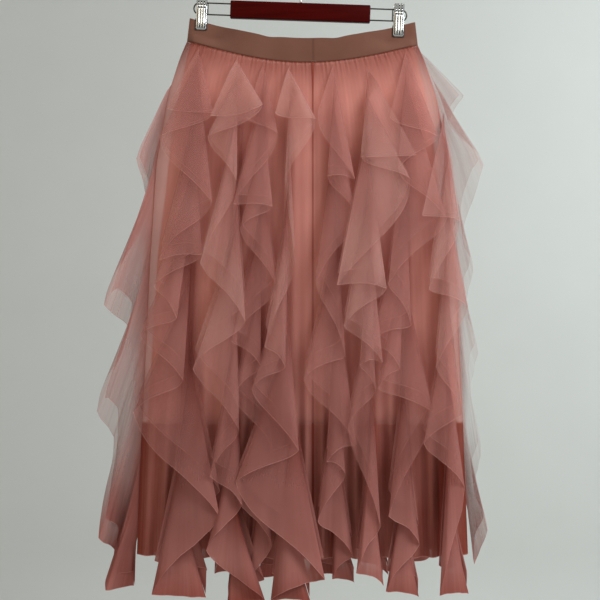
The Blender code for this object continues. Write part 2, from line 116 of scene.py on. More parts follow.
@dataclass(frozen=True)
class SkirtForm:
    """The shape that the waistband, the panels and the ruffles share.

    All sizes are in millimetres.
    """

    band_top_at_ends: float = -112.0
    band_height: float = 40.0
    band_sag: float = 33.5
    band_tilt: float = math.radians(1.0)
    band_half_width: float = 188.0
    band_top_half_width: float = 183.5
    band_wall: float = 2.4
    pinched_gap: float = 0.15
    pinch_starts: float = 100.0
    pinch_full: float = 148.0
    lens_power: float = 2.5
    calm_edge: float = 12.0
    top_follows_band: float = 220.0
    seam_gap: float = 0.3
    lining_wall: float = 1.2
    base_wall: float = 1.6
    lining: tuple = (
        # drop, half_width, half_depth, gather, fold
        Section(-6.0, 182.0, 10.6, 0.0, 0.0),
        Section(12.0, 187.0, 10.6, 0.0, 0.0),
        Section(120.0, 214.0, 12.0, 0.0, 0.6),
        Section(310.0, 238.0, 15.0, 0.0, 1.0),
        Section(590.0, 255.0, 19.0, 0.0, 1.5),
    )
    base: tuple = (
        # drop, half_width, half_depth, gather, fold
        Section(0.3, 190.5, 14.6, 1.5, 0.0),
        Section(26.0, 202.0, 16.2, 1.9, 0.4),
        Section(80.0, 222.0, 18.2, 1.0, 1.6),
        Section(170.0, 242.0, 20.5, 0.3, 3.0),
        Section(340.0, 253.0, 25.5, 0.0, 4.5),
        Section(570.0, 264.0, 32.0, 0.0, 6.0),
        Section(808.0, 273.0, 36.0, 0.0, 8.0),
    )

    @property
    def low_edge(self) -> float:
        """Return the height of the waistband's lower edge at its middle."""
        return self.band_top_at_ends - self.band_sag - self.band_height

    def band_top(self, across: float) -> float:
        """Return the height of the waistband's top edge at one place across."""
        flank = 1.0 - min(1.0, abs(across) / (self.band_half_width + self.band_wall))
        sag = self.band_sag * math.sin(math.pi / 2.0 * flank)
        return self.band_top_at_ends - math.tan(self.band_tilt) * across - sag

    def height(self, across: float, drop: float) -> float:
        """Return a level's height, which follows the waistband near the top."""
        raised = self.band_top(across) - self.band_height - self.low_edge
        follows = 1.0 - smooth(0.0, self.top_follows_band, drop)
        return self.low_edge - drop + raised * follows

    def lens(self, u: float) -> float:
        """Return the flattened tube's depth at u, from 1 in the middle to 0."""
        return math.sqrt(max(0.0, 1.0 - abs(u) ** self.lens_power))

    def calm(self, u: float) -> float:
        """Return how freely a panel folds at u: 1 in the middle, 0 at a side seam."""
        return 1.0 - abs(u) ** self.calm_edge

    @staticmethod
    def soft_folds(section: Section, count: int, u: float) -> float:
        """Return how far a level's soft folds bring a panel out at u."""
        return section.fold * math.sin(math.pi * count * u + 1.3 * math.sin(5.0 * u))

    @staticmethod
    def section_at(sections: Sequence[Section], drop: float) -> Section:
        """Return the section at any level.

        Args:
            sections: the levels that are given, top to bottom.
            drop: how far below the waistband the wanted level is.

        Returns:
            A section worked out between the two nearest ones.
        """
        drop = min(max(drop, sections[0].drop), sections[-1].drop)
        for upper, lower in zip(sections, sections[1:]):
            if drop <= lower.drop:
                t = (drop - upper.drop) / (lower.drop - upper.drop)
                return Section(*(mix(a, b, t) for a, b in zip(upper, lower)))
        return sections[-1]

    def base_face(self, across: float, height: float) -> float:
        """Return how far the outside of the net base reaches at one place."""
        drop = self.low_edge - height
        for _ in range(2):
            drop += self.height(across, drop) - height
        section = self.section_at(self.base, drop)
        u = min(1.0, abs(across) / section.half_width)
        crest = (section.gather + section.fold) * self.calm(u)
        return section.half_depth * self.lens(u) + crest + self.seam_gap / 2.0 + self.base_wall


# ------------------------------------------------------------------ shading
class Tree:
    """A material's node tree, with short calls to add and join nodes."""

    def __init__(self, name: str) -> None:
        """Start an empty material of that name."""
        self.material = bpy.data.materials.new(name)
        self.material.use_nodes = True
        self.tree = self.material.node_tree
        self.tree.nodes.clear()
        self.output = self.tree.nodes.new("ShaderNodeOutputMaterial")

    def node(self, kind: str, inputs: Optional[dict] = None, **settings: object) -> bpy.types.Node:
        """Add a node.

        Args:
            kind: Blender's name of the node's type, without "ShaderNode".
            inputs: a value or an output socket for each input, by name or index.
            **settings: the node's own properties.

        Returns:
            The new node.
        """
        made = self.tree.nodes.new("ShaderNode" + kind)
        for key, value in settings.items():
            setattr(made, key, value)
        for key, value in (inputs or {}).items():
            self.feed(made.inputs[key], value)
        return made

    def feed(self, socket: bpy.types.NodeSocket, value: object) -> None:
        """Join an output to a socket, or set the socket to a plain value."""
        if isinstance(value, bpy.types.NodeSocket):
            self.tree.links.new(value, socket)
        else:
            socket.default_value = value

    def math(self, operation: str, a: object, b: object = 0.0,
             clamp: bool = False) -> bpy.types.NodeSocket:
        """Return the output of a Math node on two values or sockets."""
        made = self.node("Math", {0: a, 1: b}, operation=operation)
        made.use_clamp = clamp
        return made.outputs[0]

    def ramp(self, factor: object, stops: Sequence[tuple]) -> bpy.types.NodeSocket:
        """Return the colour output of a ramp.

        Args:
            factor: the socket that drives it.
            stops: (position, linear colour) pairs, first to last.
        """
        made = self.node("ValToRGB", {"Fac": factor})
        elements = made.color_ramp.elements
        while len(elements) < len(stops):
            elements.new(0.5)
        for element, (position, colour) in zip(elements, stops):
            element.position = position
            element.color = (*colour, 1.0)
        return made.outputs["Color"]

    def uv(self) -> bpy.types.NodeSocket:
        """Return the piece's own UV map, in metres."""
        return self.node("UVMap", uv_map="cloth").outputs["UV"]

    def place(self) -> bpy.types.NodeSocket:
        """Return Object coordinates, in metres."""
        return self.node("TexCoord").outputs["Object"]

    def value_of(self, attribute: str) -> bpy.types.NodeSocket:
        """Return a named attribute of the mesh as a number."""
        return self.node("Attribute", attribute_name=attribute).outputs["Fac"]

    def noise(self, vector: bpy.types.NodeSocket, scale: float,
              detail: float = 2.0) -> bpy.types.NodeSocket:
        """Return noise from 0 to 1."""
        made = self.node("TexNoise", {"Vector": vector, "Scale": scale, "Detail": detail})
        return made.outputs["Fac"]

    def wave(self, vector: bpy.types.NodeSocket, period: float,
             turn: float) -> bpy.types.NodeSocket:
        """Return straight bands from 0 to 1.

        Args:
            vector: the coordinates.
            period: the distance between two bands, in metres.
            turn: the bands' direction, in degrees.
        """
        turned = self.node("Mapping", {"Vector": vector,
                                       "Rotation": (0.0, 0.0, math.radians(turn))})
        bands = self.node("TexWave", {"Vector": turned.outputs[0],
                                      "Scale": 1.0 / period / BANDS_PER_UNIT}, wave_type="BANDS")
        return bands.outputs["Fac"]

    def bump(self, height: bpy.types.NodeSocket, depth: float) -> bpy.types.NodeSocket:
        """Return a normal bumped by a height map, depth metres deep."""
        made = self.node("Bump", {"Height": height, "Distance": depth, "Strength": 1.0})
        return made.outputs["Normal"]

    def finish(self, shader: bpy.types.NodeSocket) -> bpy.types.Material:
        """Join the shader to the output and return the material."""
        self.tree.links.new(shader, self.output.inputs["Surface"])
        return self.material


@dataclass(frozen=True)
class NetFinish:
    """Sheer tulle: a fine net that shows what is behind it, with painted shade in its colour.

    Attributes:
        name: the material's name.
        pale: the colour of its cut edge.
        thread: the net's colour in the open.
        shaded: its colour in painted shade, in creases, gathers and other shaded places.
        cover: how much of what is behind one plain layer hides.
        hem_cover: how much more its cut edge hides.
        glow: the share of light that passes through the threads.
        mesh_size: the distance between two threads, in metres.
        weave: how much the threads show.
        streaks: how much the bunched lines along the net show.
    """

    name: str
    pale: tuple = (0.72, 0.41, 0.36)
    thread: tuple = (0.62, 0.285, 0.250)
    shaded: tuple = (0.27, 0.050, 0.033)
    cover: float = 0.29
    hem_cover: float = 0.34
    glow: float = 0.36
    mesh_size: float = 0.0008
    weave: float = 0.008
    streaks: float = 0.20

    def make(self) -> bpy.types.Material:
        """Return the material."""
        tree = Tree(self.name)
        uv = tree.uv()
        stretched = tree.node("Mapping", {"Vector": uv, "Scale": (230.0, 5.0, 1.0)})
        bunched = tree.noise(stretched.outputs[0], 1.0, 4.0)
        streak = tree.math("MULTIPLY", tree.math("SUBTRACT", bunched, 0.5), self.streaks)
        threads = tree.math("MAXIMUM", *(tree.wave(uv, self.mesh_size, turn)
                                         for turn in (30.0, -30.0)))
        woven = tree.math("MULTIPLY", tree.math("SUBTRACT", threads, 0.5), self.weave)
        hem = tree.math("MULTIPLY", tree.value_of("hem"), self.hem_cover)
        dense = tree.math("ADD", tree.math("ADD", tree.value_of("closeness"), hem), self.cover)
        cover = tree.math("ADD", tree.math("ADD", woven, streak), dense, clamp=True)
        cloud = tree.math("MULTIPLY", tree.noise(tree.place(), 11.0, 3.0), 0.3)
        tone = tree.math("ADD", cloud, tree.math("MULTIPLY", bunched, 0.25))
        edge = tree.math("MULTIPLY", tree.value_of("hem"), 0.5)
        # The shade attribute is painted shade; the cloud and the bunched streaks are a random tone.
        deep = tree.math("SUBTRACT", tree.math("ADD", tree.value_of("shade"), tone), edge)
        colour = tree.ramp(deep, ((0.0, self.pale), (0.22, self.thread), (0.95, self.shaded)))
        cloth = tree.node("BsdfPrincipled", {
            "Base Color": colour, "Roughness": 0.75, "Sheen Weight": 0.04,
            "Sheen Roughness": 0.5, "Sheen Tint": (0.9, 0.62, 0.55, 1.0),
            "Specular IOR Level": 0.05})
        through = tree.node("BsdfTranslucent", {"Color": colour})
        lit = tree.node("MixShader", {0: self.glow, 1: cloth.outputs[0], 2: through.outputs[0]})
        clear = tree.node("BsdfTransparent")
        net = tree.node("MixShader", {0: cover, 1: clear.outputs[0], 2: lit.outputs[0]})
        return tree.finish(net.outputs[0])


@dataclass(frozen=True)
class SatinFinish:
    """The lining's soft satin."""

    name: str = "salmon_satin"
    light: tuple = (0.86, 0.44, 0.37)
    deep: tuple = (0.76, 0.36, 0.295)
    weave_depth: float = 0.00003

    def make(self) -> bpy.types.Material:
        """Return the material."""
        tree = Tree(self.name)
        uv = tree.uv()
        cloud = tree.noise(tree.place(), 14.0, 4.0)
        colour = tree.ramp(cloud, ((0.3, self.deep), (0.7, self.light)))
        weave = tree.math("ADD", tree.wave(uv, 0.0006, 0.0), tree.wave(uv, 0.0009, 90.0))
        cloth = tree.node("BsdfPrincipled", {
            "Base Color": colour, "Normal": tree.bump(weave, self.weave_depth),
            "Roughness": 0.42, "Sheen Weight": 0.3, "Sheen Roughness": 0.35})
        return tree.finish(cloth.outputs[0])


@dataclass(frozen=True)
class ElasticFinish:
    """Wide woven elastic, matt, with fine cross ribs and painted shade along its edges."""

    name: str = "brown_mauve_elastic"
    light: tuple = (0.200, 0.088, 0.060)
    deep: tuple = (0.140, 0.058, 0.038)
    rib: float = 0.0011
    weave_depth: float = 0.00018

    def make(self) -> bpy.types.Material:
        """Return the material."""
        tree = Tree(self.name)
        uv = tree.uv()
        ribs = tree.wave(uv, self.rib, 90.0)
        picks = tree.wave(uv, self.rib * 0.8, 0.0)
        weave = tree.math("MULTIPLY_ADD", ribs, 0.6)
        tree.feed(weave.node.inputs[2], tree.math("MULTIPLY", picks, 0.4))
        cloud = tree.math("MULTIPLY", tree.noise(tree.place(), 22.0, 4.0), 0.75)
        tone = tree.math("MULTIPLY_ADD", weave, 0.25)
        tree.feed(tone.node.inputs[2], cloud)
        # Painted shade from the shade attribute: shadow along the band's edges and a darker seam
        # line.
        shaded_tone = tree.math("SUBTRACT", tone, tree.value_of("shade"))
        colour = tree.ramp(shaded_tone, ((0.15, self.deep), (0.75, self.light)))
        cloth = tree.node("BsdfPrincipled", {
            "Base Color": colour, "Normal": tree.bump(weave, self.weave_depth),
            "Roughness": 0.85, "Sheen Weight": 0.12, "Sheen Roughness": 0.5,
            "Specular IOR Level": 0.1})
        return tree.finish(cloth.outputs[0])


@dataclass(frozen=True)
class LacquerFinish:
    """Dark red lacquer over straight-grained wood."""

    name: str = "mahogany_lacquer"
    light: tuple = (0.060, 0.0010, 0.0003)
    deep: tuple = (0.040, 0.0005, 0.0002)
    grain_depth: float = 0.00004

    def make(self) -> bpy.types.Material:
        """Return the material."""
        tree = Tree(self.name)
        stretched = tree.node("Mapping", {"Vector": tree.place(), "Scale": (9.0, 150.0, 150.0)})
        grain = tree.noise(stretched.outputs[0], 1.0, 6.0)
        colour = tree.ramp(grain, ((0.35, self.deep), (0.68, self.light)))
        wear = tree.ramp(grain, ((0.2, (0.30,) * 3), (0.8, (0.40,) * 3)))
        wood = tree.node("BsdfPrincipled", {
            "Base Color": colour, "Roughness": wear, "Normal": tree.bump(grain, self.grain_depth),
            "Specular IOR Level": 0.05, "Coat Weight": 0.03, "Coat Roughness": 0.12})
        return tree.finish(wood.outputs[0])


@dataclass(frozen=True)
class MetalFinish:
    """Plated metal, uneven in its polish and darkened by painted shade in its hollows."""

    name: str
    colour: tuple
    rough_low: float
    rough_high: float
    marks_depth: float = 0.00002
    painted_hollow_shade: tuple = (0.012, 0.011, 0.010)

    def make(self) -> bpy.types.Material:
        """Return the material."""
        tree = Tree(self.name)
        marks = tree.noise(tree.place(), 420.0, 3.0)
        rough = tree.ramp(marks, ((0.3, (self.rough_low,) * 3), (0.75, (self.rough_high,) * 3)))
        # The shade attribute is painted shade, dark in the clips' grooves and stud hollows.
        colour = tree.ramp(tree.value_of("shade"), ((0.25, self.colour), (0.75, self.painted_hollow_shade)))
        metal = tree.node("BsdfPrincipled", {
            "Base Color": colour, "Roughness": rough, "Metallic": 1.0,
            "Normal": tree.bump(marks, self.marks_depth)})
        return tree.finish(metal.outputs[0])


@dataclass(frozen=True)
class PlainFinish:
    """A matt surface with a faint mottle, such as rubber, thread or the stage."""

    name: str
    light: tuple
    deep: tuple
    roughness: float
    mottle: float = 300.0

    def make(self) -> bpy.types.Material:
        """Return the material."""
        tree = Tree(self.name)
        cloud = tree.noise(tree.place(), self.mottle, 3.0)
        colour = tree.ramp(cloud, ((0.3, self.deep), (0.7, self.light)))
        matt = tree.node("BsdfPrincipled", {"Base Color": colour, "Roughness": self.roughness})
        return tree.finish(matt.outputs[0])


@dataclass
class Wardrobe:
    """Every finish of the object, made once."""

    ruffle: bpy.types.Material = field(init=False)
    base: bpy.types.Material = field(init=False)
    satin: bpy.types.Material = field(init=False)
    elastic: bpy.types.Material = field(init=False)
    lacquer: bpy.types.Material = field(init=False)
    steel: bpy.types.Material = field(init=False)
    bright: bpy.types.Material = field(init=False)
    chrome: bpy.types.Material = field(init=False)
    rubber: bpy.types.Material = field(init=False)
    thread: bpy.types.Material = field(init=False)

    def __post_init__(self) -> None:
        """Make the materials."""
        self.ruffle = NetFinish("dusty_pink_net").make()
        self.base = NetFinish("salmon_net", thread=(0.80, 0.365, 0.305),
                              shaded=(0.29, 0.062, 0.041), cover=0.60, hem_cover=0.1,
                              glow=0.28, streaks=0.16).make()
        self.satin = SatinFinish().make()
        self.elastic = ElasticFinish().make()
        self.lacquer = LacquerFinish().make()
        self.steel = MetalFinish("dark_plated_wire", (0.085, 0.08, 0.07), 0.3, 0.45).make()
        self.bright = MetalFinish("bright_plated_wire", (0.55, 0.54, 0.52), 0.16, 0.3).make()
        self.chrome = MetalFinish("bright_chrome", (0.70, 0.71, 0.70), 0.2, 0.3,
                                  marks_depth=0.000003).make()
        self.rubber = PlainFinish("black_rubber", (0.018, 0.016, 0.017), (0.008, 0.007, 0.008),
                                  0.55).make()
        self.thread = PlainFinish("pale_thread", (0.62, 0.42, 0.34), (0.48, 0.31, 0.25),
                                  0.7, 900.0).make()


# ------------------------------------------------------------ making of pieces
FLATTEST_VIEW = 0.42  # cosine past which a net looks no denser from the side


@dataclass
class Cloth:
    """A sheet of cloth made from a grid whose points a rule places.

    Attributes:
        name: the piece's name.
        columns: places along the sheet, each a number that the rule reads.
        rows: how many points each column has.
        place: gives the point of a column's place and a row.
        density: gives how much denser than plain net a point is.
        shade: gives how much painted shade a point has.
        hem_rows: the rows that are a cut edge.
        flank_density: how much denser the net looks where it turns away.
        points: the placed points, column by column, in millimetres.
    """

    name: str
    columns: Sequence[float]
    rows: int
    place: Callable[[float, int], Vector]
    density: Callable[[float, int], float] = lambda position, row: 0.0
    shade: Callable[[float, int], float] = lambda position, row: 0.0
    hem_rows: tuple = ()
    flank_density: float = 0.0
    points: list = field(default_factory=list, init=False)

    def lengths(self) -> tuple:
        """Return the sheet's longest row and its mean column, in metres."""
        longest = 0.0
        for row in range(self.rows):
            line = [column[row] for column in self.points]
            longest = max(longest, sum((b - a).length for a, b in zip(line, line[1:])))
        tall = [sum((b - a).length for a, b in zip(line, line[1:])) for line in self.points]
        return longest * MM, sum(tall) / len(tall) * MM

    def build(self, material: bpy.types.Material, facing: Vector) -> bpy.types.Object:
        """Make the sheet.

        Args:
            material: its finish.
            facing: a direction that the sheet's right side faces on the whole.

        Returns:
            The object, its mesh in place in metres.
        """
        self.points = [[self.place(position, row) for row in range(self.rows)]
                       for position in self.columns]
        mesh = bmesh.new()
        bmesh.ops.create_grid(mesh, x_segments=len(self.columns) - 1, y_segments=self.rows - 1,
                              size=0.5)
        layers = {key: mesh.verts.layers.float.new(key) for key in ("closeness", "shade", "hem")}
        mesh.verts.ensure_lookup_table()
        for index, vert in enumerate(mesh.verts):
            row, column = divmod(index, len(self.columns))
            position = self.columns[column]
            vert.co = self.points[column][row] * MM
            vert[layers["closeness"]] = self.density(position, row)
            vert[layers["shade"]] = self.shade(position, row)
            vert[layers["hem"]] = 1.0 if row in self.hem_rows else 0.0
        self.face(mesh, facing)
        self.lay_uv(mesh)
        if self.flank_density:
            mesh.normal_update()
            for vert in mesh.verts:
                turned = 1.0 / max(FLATTEST_VIEW, abs(vert.normal.dot(facing))) - 1.0
                vert[layers["closeness"]] += self.flank_density * turned
        return finished(self.name, mesh, material)

    @staticmethod
    def face(mesh: bmesh.types.BMesh, facing: Vector) -> None:
        """Turn every face over if the sheet's right side faces away."""
        mesh.normal_update()
        total = sum((face.normal * face.calc_area() for face in mesh.faces), Vector())
        if total.dot(facing) < 0.0:
            bmesh.ops.reverse_faces(mesh, faces=list(mesh.faces))

    def lay_uv(self, mesh: bmesh.types.BMesh) -> None:
        """Give the sheet a UV map in metres along its last row and its columns."""
        along, reach = [0.0], []
        edge = [column[-1] for column in self.points]
        for a, b in zip(edge, edge[1:]):
            along.append(along[-1] + (b - a).length * MM)
        for column in self.points:
            steps = [0.0]
            for a, b in zip(column, column[1:]):
                steps.append(steps[-1] + (b - a).length * MM)
            reach.append(steps)
        layer = mesh.loops.layers.uv.new("cloth")
        for face in mesh.faces:
            for loop in face.loops:
                row, column = divmod(loop.vert.index, len(self.points))
                loop[layer].uv = (along[column], reach[column][row])


def joined(verts: Sequence[bmesh.types.BMVert], kind: str) -> list:
    """Return what joins some corners, each once and in an order that never changes.

    Args:
        verts: the corners.
        kind: "link_edges" or "link_faces".
    """
    return list(dict.fromkeys(item for vert in verts for item in getattr(vert, kind)))


def put_in_order(mesh: bmesh.types.BMesh) -> None:
    """Sort corners and faces by place, as solidify and spin leave them in any order.

    Args:
        mesh: the shape, which stays the same.
    """
    for index, vert in enumerate(sorted(mesh.verts, key=lambda item: tuple(item.co))):
        vert.index = index
    mesh.verts.sort()
    middles = {face: tuple(face.calc_center_median()) for face in mesh.faces}
    for index, face in enumerate(sorted(mesh.faces, key=middles.get)):
        face.index = index
    mesh.faces.sort()


def finished(name: str, mesh: bmesh.types.BMesh, material: bpy.types.Material,
             slot: Optional[str] = None, nodes: Sequence[str] = ()) -> bpy.types.Object:
    """Turn a finished bmesh, in metres, into a piece that rides on the object.

    Args:
        name: the piece's name.
        mesh: the shape, which is freed.
        material: its finish.
        slot: not used.
        nodes: the solids of the frame that the piece stands for.

    Returns:
        The new object.
    """
    data = bpy.data.meshes.new(name)
    mesh.to_mesh(data)
    mesh.free()
    data.shade_smooth()
    data.set_sharp_from_angle(angle=SHARP_ANGLE)
    data.materials.append(material)
    item = bpy.data.objects.new(name, data)
    bpy.context.scene.collection.objects.link(item)
    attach(item, ROOT)
    if nodes:
        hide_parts(*nodes)
    LOG.info("%s: %d faces", name, len(data.polygons))
    return item


def declare(cloth: Cloth) -> None:
    """Work out the size a sheet was cut to; the sizes are not used.

    Args:
        cloth: what it was made from.
    """
    longest, tall = (round(length, 3) for length in cloth.lengths())


# -------------------------------------------------------------------- ruffles
class Fold(NamedTuple):
    """A turning point of a ruffle's free edge, in millimetres.

    across is sideways from the garment's middle, drop is below the waistband
    and root is where the same fold starts on the strip's seam.
    """

    across: float
    drop: float
    root: float


class SideFold(NamedTuple):
    """A turning point of a side ruffle's free edge, in millimetres.

    depth is front (-) to back (+), and out is how far it stands off the base.
    """

    depth: float
    out: float
    drop: float
    root: float


@dataclass(frozen=True)
class Layer:
    """One of the nets that are sewn together in each ruffle strip.

    Attributes:
        name: the last word of the piece's name.
        shift: how far its folds lie past the strip's own, in folds.
        length: its flutes' length beside the strip's own.
        lift: how far it stands off beside the strip.
        phase: where its fine waves start.
        softness: how round its turns are, from 0 to 1.
    """

    name: str
    shift: float
    length: float
    lift: float
    phase: float
    softness: float


LAYERS = (
    # name, shift, length, lift, phase, softness
    Layer("outer", 0.0, 1.0, 1.0, 0.0, 0.45),
    Layer("inner", 0.30, 0.975, 0.55, 2.1, 0.5),
)


@dataclass(frozen=True)
class Ruffling:
    """The rules that every ruffle strip shares, in millimetres.

    Attributes:
        seat: how far a strip's seam lies off the base's outer face.
        side_seat: the same on a side seam.
        slope: how far a net comes forward for each millimetre of its length.
        gather: how much of it lies flat beside the seam.
        lift_length: how far from the seam it has its whole lift.
        last_root: the lowest place on the seam.
        near_root: the first rows' distances from the seam.
        shares: the other rows' places, as shares of what is left.
        hem: the width of the cut edge.
        hem_step: the distance between two points of the free edge.
        steps: the fewest and the most points between two turns.
        rise: how much shorter a net is midway between two turns, as a share.
        rise_lift: how far it comes forward there.
        roll: how far a flute's flanks roll in and out.
        ripple: the height of the finer waves.
        ripple_pitch: how many of them lie in one fold.
        pucker: the height of the stitches' puckers.
        pucker_turn: their angle for each millimetre along the seam.
        pucker_reach: how far from the seam they die out.
        drift: how far slow unevenness moves a net in or out.
        drift_pitch: its steps for each millimetre.
        ragged: how uneven the free edge's length is.
    """

    seat: float = 0.85
    side_seat: float = 1.5
    slope: float = 0.17
    gather: float = 8.0
    lift_length: float = 32.0
    last_root: float = 780.0
    near_root: tuple = (2.0, 8.0, 15.0, 32.0)
    shares: tuple = (0.14, 0.28, 0.42, 0.55, 0.67, 0.78, 0.88, 0.95)
    hem: float = 1.1
    hem_step: float = 4.2
    steps: tuple = (12, 46)
    rise: float = 0.035
    rise_lift: float = 6.0
    roll: float = 6.5
    ripple: float = 2.6
    ripple_pitch: float = 1.7
    pucker: float = 0.8
    pucker_turn: float = 1.15
    pucker_reach: float = 22.0
    drift: float = 2.4
    drift_pitch: float = 0.018
    ragged: float = 1.6

    @property
    def rows(self) -> int:
        """Return how many points lie between the seam and the free edge."""
        return len(self.near_root) + len(self.shares) + 2

    def reach(self, whole: float, row: int) -> float:
        """Return how far from the seam a row lies on a ruling of that length."""
        if row < len(self.near_root):
            return self.near_root[row]
        if row == self.rows - 1:
            return whole
        last = self.near_root[-1]
        room = whole - self.hem - last
        share = 1.0 if row == self.rows - 2 else self.shares[row - len(self.near_root)]
        return last + room * share

    def turned(self, part: float, layer: Layer) -> float:
        """Return how far a free edge has swung, part of the way between folds."""
        return part - layer.softness * math.sin(2.0 * math.pi * part) / (2.0 * math.pi)

    def positions(self, tips: Sequence[Vector]) -> list:
        """Return places along a strip, about evenly spaced along its free edge.

        Args:
            tips: the free edge's turning points.
        """
        places = [0.0]
        fewest, most = self.steps
        for index, (a, b) in enumerate(zip(tips, tips[1:])):
            count = min(most, max(fewest, round((b - a).length / self.hem_step)))
            places += [index + (step + 1) / count for step in range(count)]
        return places

    def relief(self, position: float, root: float, reach: float, whole: float,
               layer: Layer) -> float:
        """Return how far the net's own waves move it in or out.

        Args:
            position: the place along the strip, counted in folds.
            root: where the ruling starts on the seam.
            reach: how far along the ruling the point lies.
            whole: the ruling's length.
            layer: which net it is.
        """
        free = max(0.0, reach - self.gather) / whole
        roll = -self.roll * math.sin(2.0 * math.pi * position) * free
        wave = math.sin(2.0 * math.pi * self.ripple_pitch * position + layer.phase)
        ripple = self.ripple * wave * free ** 1.3
        puckers = self.pucker * math.sin(root * self.pucker_turn + layer.phase)
        return roll + ripple + puckers * math.exp(-reach / self.pucker_reach)

    def swell(self, part: float) -> float:
        """Return how far a ruling between two turns comes forward, 0 to 1."""
        return math.sin(math.pi * part) ** 2


@dataclass(frozen=True)
class RuffleTone:
    """How dense a ruffle's net is and how much painted shade it has, place by place.

    Attributes:
        crease: the density that a fold's crease adds.
        crease_width: half the crease's width, in folds.
        bunched: the density beside the seam, at its top and further down.
        bunched_by: the roots between which it grows, in millimetres.
        bunched_share: the share of the ruling where it dies out.
        uneven: the density's own slow unevenness.
        low: the density where strips lie over each other low down.
        low_from: the levels between which that grows.
        tip: the density of the last tips.
        tip_from: the levels between which that grows.
        deep: the shade beside the seam, at its top and further down.
        deep_by: the roots between which it grows.
        deep_share: the share of the ruling where it dies out.
        low_shade: the shade of the lower half.
        low_shade_from: the levels between which that grows.
        tip_shade: the shade of the last tips.
        tip_shade_from: the levels between which that grows.
        under: the painted shade of a strip that hangs behind its neighbours.
        over: the same for a strip that hangs in front of them, below zero so it is painted lighter.
        lit_until: the levels between which those two die out.
        side_shade: the shade of the side strips' lower half.
        side_from: the levels between which that grows.
    """

    crease: float = 0.12
    crease_width: float = 0.045
    bunched: tuple = (0.05, 0.32)
    bunched_by: tuple = (20.0, 160.0)
    bunched_share: float = 0.55
    uneven: float = 0.08
    low: float = 0.58
    low_from: tuple = (560.0, 820.0)
    tip: float = 0.25
    tip_from: tuple = (780.0, 860.0)
    deep: tuple = (0.10, 0.60)
    deep_by: tuple = (20.0, 200.0)
    deep_share: float = 0.8
    low_shade: float = 0.24
    low_shade_from: tuple = (420.0, 760.0)
    tip_shade: float = 0.34
    tip_shade_from: tuple = (790.0, 880.0)
    under: float = -0.03
    over: float = -0.20
    lit_until: tuple = (380.0, 620.0)
    side_shade: float = 0.4
    side_from: tuple = (420.0, 700.0)

    def density(self, position: float, root: float, reach: float, whole: float,
                layer: Layer) -> float:
        """Return how much denser the net is at a point.

        Args:
            position: the place along the strip, counted in folds.
            root: where the ruling starts on the seam.
            reach: how far along the ruling the point lies.
            whole: the ruling's length.
            layer: which net it is.
        """
        share, level = reach / whole, root + reach
        from_fold = abs(position - round(position))
        crease = self.crease * math.exp(-(from_fold / self.crease_width) ** 2) * share
        bunched = mix(*self.bunched, smooth(*self.bunched_by, root))
        bunched *= 1.0 - smooth(0.0, self.bunched_share, share)
        uneven = self.uneven * wander(root * 0.12, layer.phase, position * 0.7)
        low = self.low * smooth(*self.low_from, level) + self.tip * smooth(*self.tip_from, level)
        return crease + bunched + uneven + low

    def shade(self, root: float, reach: float, whole: float, stand: Stand) -> float:
        """Return a front or back net's painted shade at a point.

        Args:
            root: where the ruling starts on the seam.
            reach: how far along the ruling the point lies.
            whole: the ruling's length.
            stand: how the strip hangs beside its neighbours.
        """
        level = root + reach
        # Painted shade low down and at the last tips.
        low = self.low_shade * smooth(*self.low_shade_from, level)
        low += self.tip_shade * smooth(*self.tip_shade_from, level)
        # Painted shade near the seam, dying out along the ruling.
        strong = mix(*self.deep, smooth(*self.deep_by, root))
        # Painted light: a strip that hangs in front is lighter, above the lower half.
        beneath = self.under if stand is Stand.UNDER else self.over
        beneath *= 1.0 - smooth(*self.lit_until, level)
        return strong * (1.0 - smooth(0.0, self.deep_share, reach / whole)) + low + beneath

    def side(self, level: float) -> float:
        """Return a side net's painted shade at a level."""
        return self.side_shade * smooth(*self.side_from, level)


class TwoNets(ABC):
    """A ruffle strip: two nets that share a seam and differ in their folds.

    Attributes:
        folds: its free edge's turning points.
        rules: the measures that all strips share.
        tone: the densities and shades that all strips share.
    """

    folds: Sequence
    rules: Ruffling
    tone: RuffleTone

    @property
    @abstractmethod
    def node(self) -> str:
        """Return the name of the solid that the strip stands for."""

    @abstractmethod
    def tips(self) -> list:
        """Return the free edge's turning points."""

    @abstractmethod
    def point(self, position: float, row: int, layer: Layer) -> Vector:
        """Return a point of one net, in millimetres.

        Args:
            position: the place along the strip, counted in folds.
            row: the place from the seam to the free edge.
            layer: which net it is.
        """

    @abstractmethod
    def density(self, position: float, row: int, layer: Layer) -> float:
        """Return how dense one net is at a point."""

    @abstractmethod
    def shade(self, position: float, row: int, layer: Layer) -> float:
        """Return one net's painted shade at a point."""

    def between(self, position: float) -> tuple:
        """Return the folds above and below a place, and the part of the way between."""
        index = min(int(position), len(self.folds) - 2)
        return self.folds[index], self.folds[index + 1], position - index

    def shifted(self, position: float, layer: Layer) -> float:
        """Return the place whose folds one net has at the strip's own place."""
        return min(position + layer.shift * smooth(0.0, 1.0, position), len(self.folds) - 1.0)

    def root(self, position: float) -> float:
        """Return where a place's ruling starts on the seam."""
        upper, lower, part = self.between(position)
        return mix(upper.root, lower.root, part)

    def build_nets(self, material: bpy.types.Material, facing: Vector, rests_on: Sequence[str],
                   flank_density: float = 0.0) -> None:
        """Make both nets.

        Args:
            material: their finish.
            facing: the direction that their right side faces on the whole.
            rests_on: not used.
            flank_density: how much denser they look where they turn away.
        """
        rows = self.rules.rows
        places = self.rules.positions(self.tips())
        for layer in LAYERS:
            sheet = Cloth(f"{self.node}_{layer.name}", places, rows,
                          partial(self.point, layer=layer), partial(self.density, layer=layer),
                          partial(self.shade, layer=layer), (rows - 1,), flank_density)
            piece = sheet.build(material, facing)
            if layer is LAYERS[0]:
                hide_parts(self.node)
            declare(sheet)


